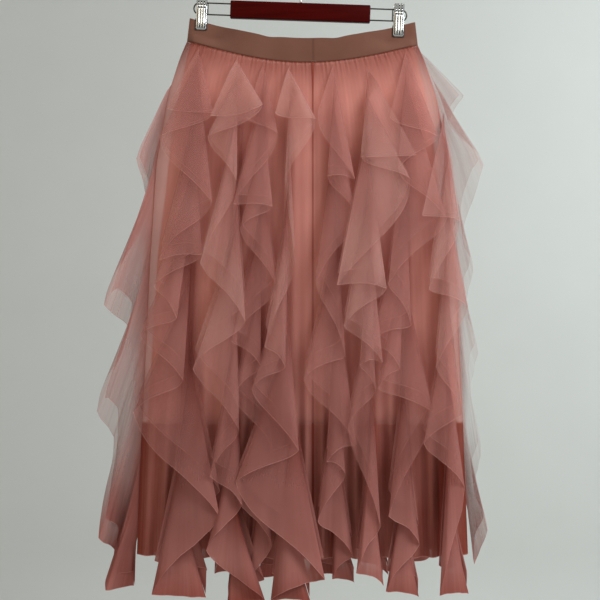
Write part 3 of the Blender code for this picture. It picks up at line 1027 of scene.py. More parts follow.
@dataclass
class RuffleStrip(TwoNets):
    """A ruffle strip sewn down the front or the back.

    Attributes:
        name: the last word of its solid's name.
        seam_top: where its seam starts, across from the middle.
        seam_low: where its seam ends.
        stand: how it hangs beside its neighbours.
        folds: its free edge's turning points.
        side: the panel that it is sewn to.
        under_calm: how much of its waves a strip behind the others has.
        full_swell: how far from the seam a flute comes forward fully.
        full_drift: how far from the seam it drifts fully.
        least_stand: the least distance from the base, in millimetres.
    """

    name: str
    seam_top: float
    seam_low: float
    stand: Stand
    folds: Sequence[Fold]
    side: Side = Side.FRONT
    under_calm: float = 0.55
    full_swell: float = 120.0
    full_drift: float = 80.0
    least_stand: float = 0.5
    form: SkirtForm = field(default_factory=SkirtForm)
    rules: Ruffling = field(default_factory=Ruffling)
    tone: RuffleTone = field(default_factory=RuffleTone)

    @property
    def node(self) -> str:
        """Return the name of the solid that the strip stands for."""
        return f"ruffle_{self.side.name.lower()}_{self.name}"

    def seam(self, root: float) -> float:
        """Return where the seam is, across the garment, at a root."""
        return mix(self.seam_top, self.seam_low, root / self.rules.last_root)

    def aim(self, fold: Fold) -> tuple:
        """Return the angle and length of the ruling that ends in a fold."""
        seam = self.seam(fold.root)
        sideways = fold.across - seam
        down = self.form.height(seam, fold.root) - (self.form.low_edge - fold.drop)
        return math.atan2(sideways, down), math.hypot(sideways, down)

    def ruling(self, position: float, layer: Layer) -> tuple:
        """Return the angle, length and root of the ruling at any place."""
        upper, lower, part = self.between(self.shifted(position, layer))
        (angle_a, reach_a), (angle_b, reach_b) = self.aim(upper), self.aim(lower)
        angle = mix(angle_a, angle_b, self.rules.turned(part, layer))
        whole = mix(reach_a, reach_b, part) * layer.length
        whole *= 1.0 - self.rules.rise * self.rules.swell(part)
        root = self.root(position)
        return angle, whole + self.rules.ragged * wander(root * 0.05, layer.phase, 3.0), root

    def point(self, position: float, row: int, layer: Layer) -> Vector:
        """Return a point of one net, in millimetres."""
        rules = self.rules
        angle, whole, root = self.ruling(position, layer)
        reach = rules.reach(whole, row)
        seam = self.seam(root)
        across = seam + reach * math.sin(angle)
        height = self.form.height(seam, root) - reach * math.cos(angle)
        free = max(0.0, reach - rules.gather)
        lift = self.stand.value * layer.lift * min(1.0, free / (rules.lift_length - rules.gather))
        face = self.form.base_face(across, height)
        stand = rules.seat + lift + rules.slope * layer.lift * free
        calm = 1.0 if self.stand is Stand.OVER else self.under_calm
        stand += calm * rules.relief(position, root, reach, whole, layer)
        swell = calm * rules.rise_lift * rules.swell(position + layer.shift)
        stand += swell * min(1.0, free / self.full_swell)
        drift = wander(across * rules.drift_pitch, height * rules.drift_pitch, layer.phase)
        stand += rules.drift * drift * min(1.0, free / self.full_drift)
        out = face + max(self.least_stand, stand)
        return Vector((across, self.side.value * out, height))

    def density(self, position: float, row: int, layer: Layer) -> float:
        """Return how dense one net is at a point."""
        _, whole, root = self.ruling(position, layer)
        return self.tone.density(position, root, self.rules.reach(whole, row), whole, layer)

    def shade(self, position: float, row: int, layer: Layer) -> float:
        """Return one net's painted shade at a point."""
        _, whole, root = self.ruling(position, layer)
        return self.tone.shade(root, self.rules.reach(whole, row), whole, self.stand)

    def tips(self) -> list:
        """Return the free edge's turning points."""
        return [Vector((fold.across, 0.0, -fold.drop)) for fold in self.folds]

    def build(self, material: bpy.types.Material) -> None:
        """Make both nets of the strip."""
        facing = Vector((0.0, self.side.value, 0.0))
        self.build_nets(material, facing, [BASE_NAMES[self.side]], flank_density=0.07)


@dataclass
class SideRuffle(TwoNets):
    """A ruffle strip sewn down a side seam, folded front to back.

    Attributes:
        flank: the side seam that it is sewn to.
        folds: its free edge's turning points.
        denser_top: how much denser than other ruffles its upper part is.
        denser_low: how much denser than other ruffles its lower part is.
        denser_from: the levels between which one turns into the other.
        waviness: how much of the ruffles' waves it has.
    """

    flank: Flank
    folds: Sequence[SideFold]
    denser_top: float
    denser_low: float
    denser_from: tuple = (300.0, 640.0)
    waviness: float = 0.7
    form: SkirtForm = field(default_factory=SkirtForm)
    rules: Ruffling = field(default_factory=Ruffling)
    tone: RuffleTone = field(default_factory=RuffleTone)

    @property
    def node(self) -> str:
        """Return the name of the solid that the strip stands for."""
        return f"ruffle_side_{self.flank.name.lower()}"

    def ruling(self, position: float, layer: Layer) -> tuple:
        """Return the depth, stand-off, length and root of the ruling at a place."""
        upper, lower, part = self.between(self.shifted(position, layer))
        swing = self.rules.turned(part, layer)
        whole = mix(upper.drop - upper.root, lower.drop - lower.root, part) * layer.length
        out = mix(upper.out, lower.out, swing) * layer.lift ** 0.35
        depth = mix(upper.depth, lower.depth, swing) * layer.lift ** 0.2
        return depth, out, whole, self.root(position)

    def point(self, position: float, row: int, layer: Layer) -> Vector:
        """Return a point of one net, in millimetres."""
        rules = self.rules
        depth, stand, whole, root = self.ruling(position, layer)
        reach = rules.reach(whole, row)
        free = max(0.0, reach - rules.gather) / (whole - rules.gather)
        wave = self.waviness * rules.relief(position, root, reach, whole, layer)
        seat = mix(-rules.side_seat, rules.side_seat, smooth(0.0, 12.0, reach))
        out = seat + free * stand + 0.5 * wave * free
        forward = depth * reach / whole + wave
        start = self.form.section_at(self.form.base, root).half_width
        edge = self.form.section_at(self.form.base, root + reach).half_width
        way = self.flank.value
        height = self.form.height(way * start, root) - reach
        return Vector((way * (edge + out), forward, height))

    def density(self, position: float, row: int, layer: Layer) -> float:
        """Return how dense one net is at a point."""
        _, _, whole, root = self.ruling(position, layer)
        reach = self.rules.reach(whole, row)
        low = smooth(*self.denser_from, root + reach)
        denser = mix(self.denser_top, self.denser_low, low)
        return self.tone.density(position, root, reach, whole, layer) + denser

    def shade(self, position: float, row: int, layer: Layer) -> float:
        """Return one net's painted shade at a point."""
        _, _, whole, root = self.ruling(position, layer)
        return self.tone.side(root + self.rules.reach(whole, row))

    def tips(self) -> list:
        """Return the free edge's turning points."""
        return [Vector((fold.depth, fold.out, -fold.drop)) for fold in self.folds]

    def build(self, material: bpy.types.Material) -> None:
        """Make both nets of the strip."""
        facing = Vector((self.flank.value, 0.0, 0.0))
        self.build_nets(material, facing, [BASE_NAMES[Side.FRONT], BASE_NAMES[Side.BACK]])


def front_strips() -> list:
    """Return the eight front strips, left to right, with their folds."""
    return [
        RuffleStrip("a", -169.0, -197.0, Stand.UNDER, (
            # across, drop, root
            Fold(-220, 78, 3), Fold(-144, 86, 14), Fold(-231, 124, 26), Fold(-144, 234, 46),
            Fold(-230, 325, 110), Fold(-161, 316, 148), Fold(-239, 366, 184), Fold(-201, 419, 225),
            Fold(-263, 447, 268), Fold(-190, 517, 320), Fold(-273, 570, 372), Fold(-131, 729, 470),
            Fold(-240, 858, 620), Fold(-154, 864, 750))),
        RuffleStrip("b", -105.0, -111.0, Stand.OVER, (
            # across, drop, root
            Fold(-148, 94, 3), Fold(-64, 75, 18), Fold(-152, 128, 40), Fold(-105, 198, 66),
            Fold(-162, 330, 112), Fold(-90, 424, 206), Fold(-173, 498, 300), Fold(-100, 595, 390),
            Fold(-146, 667, 470), Fold(-95, 712, 540), Fold(-152, 785, 630), Fold(-59, 864, 720),
            Fold(-119, 866, 790))),
        RuffleStrip("c", -63.0, -72.0, Stand.UNDER, (
            # across, drop, root
            Fold(-92, 94, 3), Fold(-40, 120, 15), Fold(-111, 236, 60), Fold(-48, 240, 96),
            Fold(-100, 274, 130), Fold(-41, 368, 190), Fold(-113, 455, 262), Fold(-67, 494, 320),
            Fold(-110, 543, 372), Fold(-48, 626, 450), Fold(-100, 711, 530), Fold(-48, 778, 620),
            Fold(-90, 854, 710))),
        RuffleStrip("d", -21.0, -26.0, Stand.OVER, (
            # across, drop, root
            Fold(-44, 90, 3), Fold(21, 99, 18), Fold(-28, 196, 70), Fold(-12, 330, 160),
            Fold(-60, 463, 262), Fold(-27, 495, 320), Fold(-80, 529, 368), Fold(-6, 626, 420),
            Fold(-105, 674, 466), Fold(35, 824, 540), Fold(-50, 860, 650), Fold(12, 864, 740))),
        RuffleStrip("e", 51.0, 54.0, Stand.UNDER, (
            # across, drop, root
            Fold(26, 82, 3), Fold(84, 196, 16), Fold(40, 190, 56), Fold(86, 254, 94),
            Fold(21, 360, 140), Fold(68, 478, 250), Fold(2, 514, 312), Fold(85, 617, 372),
            Fold(38, 645, 420), Fold(68, 665, 464), Fold(24, 739, 520), Fold(80, 795, 600),
            Fold(47, 832, 690), Fold(83, 842, 760))),
        RuffleStrip("f", 105.0, 113.0, Stand.OVER, (
            # across, drop, root
            Fold(182, 158, 18), Fold(93, 160, 52), Fold(171, 195, 76), Fold(54, 365, 114),
            Fold(133, 371, 166), Fold(65, 430, 216), Fold(126, 488, 268), Fold(90, 492, 310),
            Fold(116, 532, 350), Fold(72, 588, 404), Fold(122, 744, 500), Fold(84, 818, 600),
            Fold(128, 840, 700))),
        RuffleStrip("g", 170.0, 164.0, Stand.UNDER, (
            # across, drop, root
            Fold(141, 94, 3), Fold(220, 124, 14), Fold(153, 178, 34), Fold(231, 259, 60),
            Fold(136, 363, 120), Fold(173, 430, 206), Fold(110, 455, 250), Fold(155, 497, 290),
            Fold(120, 529, 334), Fold(208, 568, 380), Fold(136, 731, 500), Fold(186, 778, 590),
            Fold(132, 852, 680), Fold(186, 864, 760))),
        RuffleStrip("h", 234.0, 234.0, Stand.OVER, (
            # across, drop, root
            Fold(190, 255, 95), Fold(254, 262, 132), Fold(200, 372, 176), Fold(266, 400, 236),
            Fold(212, 495, 300), Fold(254, 571, 372), Fold(191, 616, 430), Fold(259, 689, 500),
            Fold(216, 856, 630), Fold(266, 860, 730))),
    ]


def side_ruffles() -> list:
    """Return the two side ruffles with their folds."""
    left = (
        # depth, out, drop, root
        SideFold(-24, 26, 190, 60), SideFold(24, 8, 240, 150), SideFold(-30, 65, 399, 190),
        SideFold(28, 32, 434, 300), SideFold(-30, 69, 570, 350), SideFold(26, 48, 618, 450),
        SideFold(-28, 58, 777, 540), SideFold(24, 40, 806, 640), SideFold(-18, 48, 864, 700),
        SideFold(20, 6, 866, 775),
    )
    right = (
        # depth, out, drop, root
        SideFold(-22, 38, 86, 6), SideFold(20, 10, 118, 34), SideFold(-26, 49, 195, 58),
        SideFold(20, 15, 290, 130), SideFold(-24, 24, 342, 200), SideFold(18, 14, 392, 262),
        SideFold(-28, 24, 476, 330), SideFold(18, 16, 530, 400), SideFold(-24, 22, 645, 470),
        SideFold(20, 15, 696, 550), SideFold(-28, 28, 764, 630), SideFold(18, 12, 830, 720),
    )
    return [SideRuffle(Flank.LEFT, left, 0.20, 0.06), SideRuffle(Flank.RIGHT, right, -0.08, -0.24)]


@dataclass
class BackRuffles:
    """The six strips across the back, their flutes worked out by a rule."""

    seams: tuple = (
        # top, low
        (-154.0, -194.0),
        (-92.0, -122.0),
        (-33.0, -42.0),
        (27.0, 36.0),
        (92.0, 122.0),
        (154.0, 194.0),
    )
    flute_length: float = 118.0
    flute_growth: float = 0.14
    flute_uneven: float = 24.0
    swing: float = 30.0
    swing_uneven: float = 8.0
    pitch: float = 46.0
    pitch_growth: float = 0.03
    pitch_uneven: float = 12.0
    first_root: float = 3.0
    longest_drop: float = 866.0
    tip_step: float = 6.0
    rules: Ruffling = field(default_factory=Ruffling)

    def strip(self, index: int) -> RuffleStrip:
        """Return one strip, its folds as uneven as hand-sewn flutes are.

        The sines have unlike steps, so no two flutes of a strip are the same.
        """
        seam_top, seam_low = self.seams[index]
        folds = []
        root = self.first_root
        way = 1 if index % 2 else -1
        while root < self.rules.last_root:
            count = len(folds)
            reach = self.flute_length + self.flute_growth * root
            reach += self.flute_uneven * math.sin(2.1 * count + index)
            swing = way * (self.swing + self.swing_uneven * math.sin(1.3 * count + 2.0 * index))
            seam = mix(seam_top, seam_low, root / self.rules.last_root)
            drop = min(root + reach, self.longest_drop - self.tip_step * (count % 2))
            folds.append(Fold(seam + swing, drop, root))
            uneven = self.pitch_uneven * math.sin(1.7 * count + index)
            root += self.pitch + self.pitch_growth * root + uneven
            way = -way
        stand = Stand.OVER if index % 2 else Stand.UNDER
        return RuffleStrip(str(index + 1), seam_top, seam_low, stand, tuple(folds), Side.BACK)

    def strips(self) -> list:
        """Return all six strips."""
        return [self.strip(index) for index in range(len(self.seams))]


# --------------------------------------------------------------------- panels
BASE_NAMES = {Side.FRONT: "tulle_front_net", Side.BACK: "tulle_back_net"}
RUFFLE_SEAMS = {Side.FRONT: [(strip.seam_top, strip.seam_low) for strip in front_strips()],
                Side.BACK: list(BackRuffles().seams)}


def panel_places(columns: int) -> list:
    """Return evenly spaced places across a panel, -1 to 1."""
    return [2.0 * column / columns - 1.0 for column in range(columns + 1)]


@dataclass
class NetPanel:
    """The gathered net base of the front or the back.

    Attributes:
        gathers: how many gathers it has under the waistband.
        fine_gathers: how many finer ones.
        folds: how many soft folds it has at the hem.
        seam_across: where its upright seam is, across from the middle.
        seam_height: how far the seam stands out.
        seam_width: half the seam's width.
        hem: the width of the cut edge.
        low_density: how much denser it looks below the lining.
        tuck_width: half the width of the dark line along a ruffle's seam, painted shadow of the
            ruffle and partly its seam allowance.
        tuck_from: the levels between which that line grows.
        tuck_shade: how deep that line's painted shade is, over the lining and below it.
        top_shade: how much painted shade it has under the waistband.
        top_depth: how far down that reaches.
        low_shade: how much painted shade it has below the lining, in the middle and near a side
            seam.
    """

    side: Side
    form: SkirtForm = field(default_factory=SkirtForm)
    gathers: int = 48
    fine_gathers: int = 71
    folds: int = 19
    columns: int = 432
    rows: int = 48
    seam_across: float = 17.0
    seam_height: float = 0.9
    seam_width: float = 1.6
    hem: float = 1.6
    low_density: float = 0.36
    tuck_width: float = 10.0
    tuck_from: tuple = (40.0, 170.0)
    tuck_shade: tuple = (0.85, 0.4)
    top_shade: float = 0.52
    top_depth: float = 75.0
    low_shade: tuple = (0.32, 0.52)

    @property
    def lining_hem(self) -> float:
        """Return the level of the lining's hem, seen through the net."""
        return self.form.lining[-1].drop + 1.0

    @cached_property
    def levels(self) -> list:
        """Return every row's level, closer together near the top and at the lining's hem."""
        first, last = self.form.base[0].drop, self.form.base[-1].drop
        count = self.rows - 4
        even = [mix(first, last - self.hem, (row / count) ** 1.5) for row in range(count + 1)]
        return sorted(even + [self.lining_hem - 1.5, self.lining_hem + 1.5]) + [last]

    def wave(self, u: float, drop: float) -> float:
        """Return how far the gathers and folds bring the panel out, in millimetres."""
        section = self.form.section_at(self.form.base, drop)
        uneven = 0.35 * wander(u * 9.0, drop * 0.004, self.side.value)
        gathers = section.gather * math.cos(math.pi * self.gathers * (u + 1.0) + uneven)
        turn = math.pi * self.fine_gathers * u + 3.0 * wander(u * 5.0, 1.0)
        fine = 0.45 * section.gather * math.sin(turn)
        folds = self.form.soft_folds(section, self.folds, u)
        calm = 1.0 - smooth(3.0, 30.0, drop)
        loose = mix(0.3, 0.8, smooth(350.0, 700.0, drop))
        return ((0.4 * gathers + 0.6 * fine) * calm + loose * folds) * self.form.calm(u)

    def seam(self, across: float, width: float) -> float:
        """Return how near a place is to the front's upright seam, 0 to 1."""
        if self.side is not Side.FRONT:
            return 0.0
        return math.exp(-((across - self.seam_across) / width) ** 2)

    def below_lining(self, drop: float) -> float:
        """Return 0 over the lining and 1 below its hem."""
        return smooth(self.lining_hem - 1.0, self.lining_hem + 1.0, drop)

    def spot(self, position: float, row: int) -> tuple:
        """Return a point's level, its place across and how deep in a valley it is."""
        drop = self.levels[row]
        section = self.form.section_at(self.form.base, drop)
        depth = max(0.5, section.gather + section.fold)
        valley = 0.5 - 0.5 * self.wave(position, drop) / depth
        return drop, section.half_width * position, valley

    def point(self, position: float, row: int) -> Vector:
        """Return a point of the panel, in millimetres."""
        drop = self.levels[row]
        section = self.form.section_at(self.form.base, drop)
        out = section.half_depth * self.form.lens(position) + self.wave(position, drop)
        out = max(out, 0.0) + (self.form.seam_gap + self.form.base_wall) / 2.0
        across = section.half_width * position
        out += self.form.base_wall / 2.0 * self.form.calm(position)
        ridge = self.seam(across, self.seam_width) * smooth(0.0, 20.0, drop)
        out += self.seam_height * ridge
        return Vector((across, self.side.value * out, self.form.height(across, drop)))

    def density(self, position: float, row: int) -> float:
        """Return how dense the net is: gathers at the top and the seam."""
        drop, across, valley = self.spot(position, row)
        top = 1.0 - smooth(0.0, 50.0, drop)
        seam = self.seam(across, 2.0) * (1.0 - smooth(300.0, 420.0, drop))
        streak = 0.1 * wander(position * 40.0, drop * 0.002, 5.0)
        low = self.low_density * self.below_lining(drop)
        return 0.08 * valley * top + 0.05 * top + 0.3 * seam + low + streak

    def tuck_shadow(self, across: float, drop: float) -> float:
        """Return how near a place is to a ruffle's seam, 0 to 1, the mask of a painted shadow."""
        share = drop / Ruffling.last_root
        nearest = min(abs(across - mix(top, low, share)) for top, low in RUFFLE_SEAMS[self.side])
        return math.exp(-(nearest / self.tuck_width) ** 2) * smooth(*self.tuck_from, drop)

    def shade(self, position: float, row: int) -> float:
        """Return the net's painted shade in valleys, under the waistband, at its sides, along the
        ruffles' seams and low down, and its darker upright seam.
        """
        drop, across, valley = self.spot(position, row)
        seam = self.seam(across, self.seam_width)
        low = self.below_lining(drop)
        # Painted shade in the gathers' valleys, in small nicks and under the waistband.
        nick = 1.0 - smooth(0.0, 7.0, drop)
        top = self.top_shade * (1.0 - smooth(0.0, self.top_depth, drop))
        # Painted shade at the panel's sides.
        flank = 0.15 * smooth(0.92, 1.0, abs(position))
        # Painted shadow of the ruffles along their seams.
        tuck_shadow = mix(*self.tuck_shade, low) * self.tuck_shadow(across, drop)
        # Painted shade below the lining, deeper towards the sides.
        deep = mix(*self.low_shade, smooth(0.3, 0.8, abs(position)))
        return (0.08 + 0.5 * nick) * valley ** 2 + top + flank + tuck_shadow + 0.6 * seam + deep * low

    def build(self, material: bpy.types.Material) -> None:
        """Make the panel."""
        sheet = Cloth(BASE_NAMES[self.side], panel_places(self.columns), self.rows, self.point,
                      self.density, self.shade, hem_rows=(self.rows - 1,), flank_density=0.05)
        piece = sheet.build(material, Vector((0.0, self.side.value, 0.0)))
        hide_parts(f"tulle_{self.side.name.lower()}")
        declare(sheet)


@dataclass
class Lining:
    """The satin lining of the front or the back."""

    side: Side
    form: SkirtForm = field(default_factory=SkirtForm)
    columns: int = 150
    rows: int = 44
    folds: int = 9
    hem_turn: float = 18.0
    satin_wall: float = 0.5

    def drop(self, row: int) -> float:
        """Return a row's level below the waistband."""
        first, last = self.form.lining[0].drop, self.form.lining[-1].drop
        return mix(first, last, row / (self.rows - 1))

    def point(self, position: float, row: int) -> Vector:
        """Return a point of the lining's outer face, in millimetres."""
        drop = self.drop(row)
        section = self.form.section_at(self.form.lining, drop)
        calm = self.form.calm(position)
        fold = self.form.soft_folds(section, self.folds, position)
        slack = 0.7 * wander(position * 4.0, drop * 0.012, 7.0) * smooth(20.0, 200.0, drop)
        turn = 0.5 * smooth(0.0, 1.5, drop - (self.form.lining[-1].drop - self.hem_turn))
        out = section.half_depth * self.form.lens(position) + (fold + slack) * calm
        out = max(out, 0.0) + self.form.seam_gap / 2.0 + self.form.lining_wall + turn * calm
        across = section.half_width * position
        return Vector((across, self.side.value * out, self.form.height(across, drop)))

    def build(self, material: bpy.types.Material) -> None:
        """Make the lining panel, with its wall."""
        name = f"lining_{self.side.name.lower()}_satin"
        sheet = Cloth(name, panel_places(self.columns), self.rows, self.point)
        piece = sheet.build(material, Vector((0.0, self.side.value, 0.0)))
        wall = piece.modifiers.new("wall", "SOLIDIFY")
        wall.thickness = self.satin_wall * MM
        wall.offset = -1.0
        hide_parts(*(f"lining_{self.side.name.lower()}_{part}" for part in ("top", "low")))
        declare(sheet)


@dataclass
class Waistband:
    """The wide elastic waistband, pressed flat by the clips near its ends."""

    form: SkirtForm = field(default_factory=SkirtForm)
    columns: int = 150
    levels: int = 24
    edge_round: float = 0.9
    seam_across: float = 18.3
    seam_width: float = 1.0
    seam_depth: float = 0.75
    dip: float = 2.2
    dip_across: float = 54.0
    dip_width: float = 15.0

    def pinch(self, across: float, down: float) -> float:
        """Return how much the clips press the band at a place, 0 to 1."""
        press = smooth(self.form.pinch_starts, self.form.pinch_full, abs(across))
        return press * (1.0 - smooth(22.0 * press, 38.0, down))

    def loop_point(self, turn: float, down: float, outer: bool) -> Vector:
        """Return a point of the band, in millimetres.

        Args:
            turn: the way round, 0 to 2 over the front and 2 to 4 over the back.
            down: the distance below the band's top edge.
            outer: True on the outer face and False on the inner one.
        """
        form = self.form
        side = Side.FRONT if turn <= 2.0 else Side.BACK
        u = turn - 1.0 if turn <= 2.0 else 3.0 - turn
        across = u * mix(form.band_top_half_width, form.band_half_width, down / form.band_height)
        gap = form.lining[0].half_depth * form.lens(0.985 * u) + form.lining_wall + form.seam_gap
        end = smooth(0.0, 0.05, 1.0 - abs(u))
        inside = mix(gap, form.pinched_gap, self.pinch(across, down)) * end
        edge = min(down, form.band_height - down)
        near = 1.0 - min(1.0, edge / self.edge_round)
        rounding = self.edge_round * (1.0 - math.sqrt(1.0 - near ** 2))
        wall = form.band_wall - 1.2 * rounding
        out = inside
        if outer:
            out += wall * math.sqrt(max(0.0, 1.0 - (1.0 - end) ** 2))
            across += math.copysign(form.band_wall, u) * (1.0 - end) ** 2
            if side is Side.FRONT:
                groove = math.exp(-((across - self.seam_across) / self.seam_width) ** 2)
                out -= self.seam_depth * groove
        dip = self.dip * math.exp(-((abs(across) - self.dip_across) / self.dip_width) ** 2)
        dip *= 1.0 - down / form.band_height
        return Vector((across, side.value * out, form.band_top(across) - down - dip))

    def shade(self, turn: float, down: float) -> float:
        """Return the band's painted shade: painted shadow along its edges and a darker seam line.
        """
        if turn > 2.0:
            return 0.0
        across = (turn - 1.0) * self.form.band_half_width
        groove = math.exp(-((across - self.seam_across) / 0.9) ** 2)
        low_edge = smooth(self.form.band_height - 2.2, self.form.band_height - 0.6, down)
        top_edge = 1.0 - smooth(0.0, 1.6, down)
        return 1.3 * groove + 0.8 * low_edge + 0.3 * top_edge

    def build(self, material: bpy.types.Material) -> None:
        """Make the band as one closed ring with rounded edges."""
        around = 2 * self.columns
        turns = [4.0 * step / around for step in range(around)]
        downs = self.downs()
        mesh = bmesh.new()
        shade = mesh.verts.layers.float.new("shade")
        rings = []
        for outer, levels in ((True, downs), (False, downs[::-1])):
            for down in levels:
                ring = []
                for turn in turns:
                    vert = mesh.verts.new(self.loop_point(turn, down, outer) * MM)
                    vert[shade] = self.shade(turn, down)
                    ring.append(vert)
                rings.append(ring)
        edges = []
        for ring in rings:
            edges.append([mesh.edges.new((a, b)) for a, b in zip(ring, ring[1:] + ring[:1])])
        for upper, lower in zip(edges, edges[1:] + edges[:1]):
            bmesh.ops.bridge_loops(mesh, edges=upper + lower)
        bmesh.ops.recalc_face_normals(mesh, faces=list(mesh.faces))
        layer = mesh.loops.layers.uv.new("cloth")
        for face in mesh.faces:
            for loop in face.loops:
                loop[layer].uv = (loop.vert.co.x, loop.vert.co.z)
        piece = finished("waistband_webbing", mesh, material, "elastic", ["waistband"])

    def downs(self) -> list:
        """Return the levels, closer together at the rounded edges."""
        near = [self.edge_round * (1.0 - math.cos(math.radians(angle)))
                for angle in (0, 35, 60, 90)]
        middle = [mix(near[-1], self.form.band_height - near[-1], step / self.levels)
                  for step in range(1, self.levels)]
        far = [self.form.band_height - value for value in near[::-1]]
        return near + middle + far


@dataclass
class SeamTack:
    """The pale thread ends at the foot of the waistband's seam."""

    form: SkirtForm = field(default_factory=SkirtForm)
    across: float = 18.3
    width: float = 8.0
    above: float = 1.4
    height: float = 0.6
    thread: float = 0.28
    stitches: int = 5

    def build(self, material: bpy.types.Material) -> None:
        """Make a small bar of zigzag stitches."""
        points = []
        foot = self.form.band_top(self.across) - self.form.band_height
        for step in range(self.stitches * 2 + 1):
            way = 1 if step % 2 else -1
            across = self.across - self.width / 2.0 + self.width * step / (self.stitches * 2)
            face = self.form.lining[0].half_depth + self.form.lining_wall + self.form.seam_gap
            out = face + self.form.band_wall + 0.25
            points.append(Vector((across, -out, foot + self.above + self.height * way)))
        wire_piece("waistband_seam_tack", points, self.thread, material, "elastic", sides=6)


# --------------------------------------------------------------------- hanger
def sweep_tube(mesh: bmesh.types.BMesh, points: Sequence[Vector], radius: float,
               sides: int) -> None:
    """Add a round tube along a line to a mesh, with domed ends.

    Args:
        mesh: the mesh to add to.
        points: the line, close enough together to look smooth.
        radius: half the tube's thickness.
        sides: how many sides the tube has.
    """
    tangents = []
    for index in range(len(points)):
        before, after = points[max(index - 1, 0)], points[min(index + 1, len(points) - 1)]
        tangents.append((after - before).normalized())
    domes = [math.radians(angle) for angle in (75, 50, 25)]
    first, last = tangents[0], tangents[-1]
    stations = [(points[0] - first * radius * math.sin(a), first, radius * math.cos(a))
                for a in domes]
    stations += [(point, tangent, radius) for point, tangent in zip(points, tangents)]
    stations += [(points[-1] + last * radius * math.sin(a), last, radius * math.cos(a))
                 for a in domes[::-1]]
    normal = first.orthogonal().normalized()
    rings = []
    for point, tangent, size in stations:
        normal = (normal - tangent * normal.dot(tangent)).normalized()
        binormal = tangent.cross(normal)
        ring = []
        for step in range(sides):
            angle = 2.0 * math.pi * step / sides
            offset = normal * math.cos(angle) + binormal * math.sin(angle)
            ring.append(mesh.verts.new(point + offset * size))
        rings.append(ring)
    loops = [[mesh.edges.new((a, b)) for a, b in zip(ring, ring[1:] + ring[:1])] for ring in rings]
    faces = []
    for upper, lower in zip(loops, loops[1:]):
        faces += bmesh.ops.bridge_loops(mesh, edges=upper + lower)["faces"]
    faces.append(mesh.faces.new(rings[0]))
    faces.append(mesh.faces.new(rings[-1]))
    bmesh.ops.recalc_face_normals(mesh, faces=faces)


def wire_piece(name: str, points: Sequence[Vector], diameter: float, material: bpy.types.Material,
               slot: str, nodes: Sequence[str] = (), sides: int = 14) -> bpy.types.Object:
    """Make one piece of bent wire from points in millimetres."""
    mesh = bmesh.new()
    sweep_tube(mesh, points, diameter / 2.0, sides)
    bmesh.ops.scale(mesh, vec=(MM,) * 3, verts=mesh.verts)
    return finished(name, mesh, material, slot, nodes)


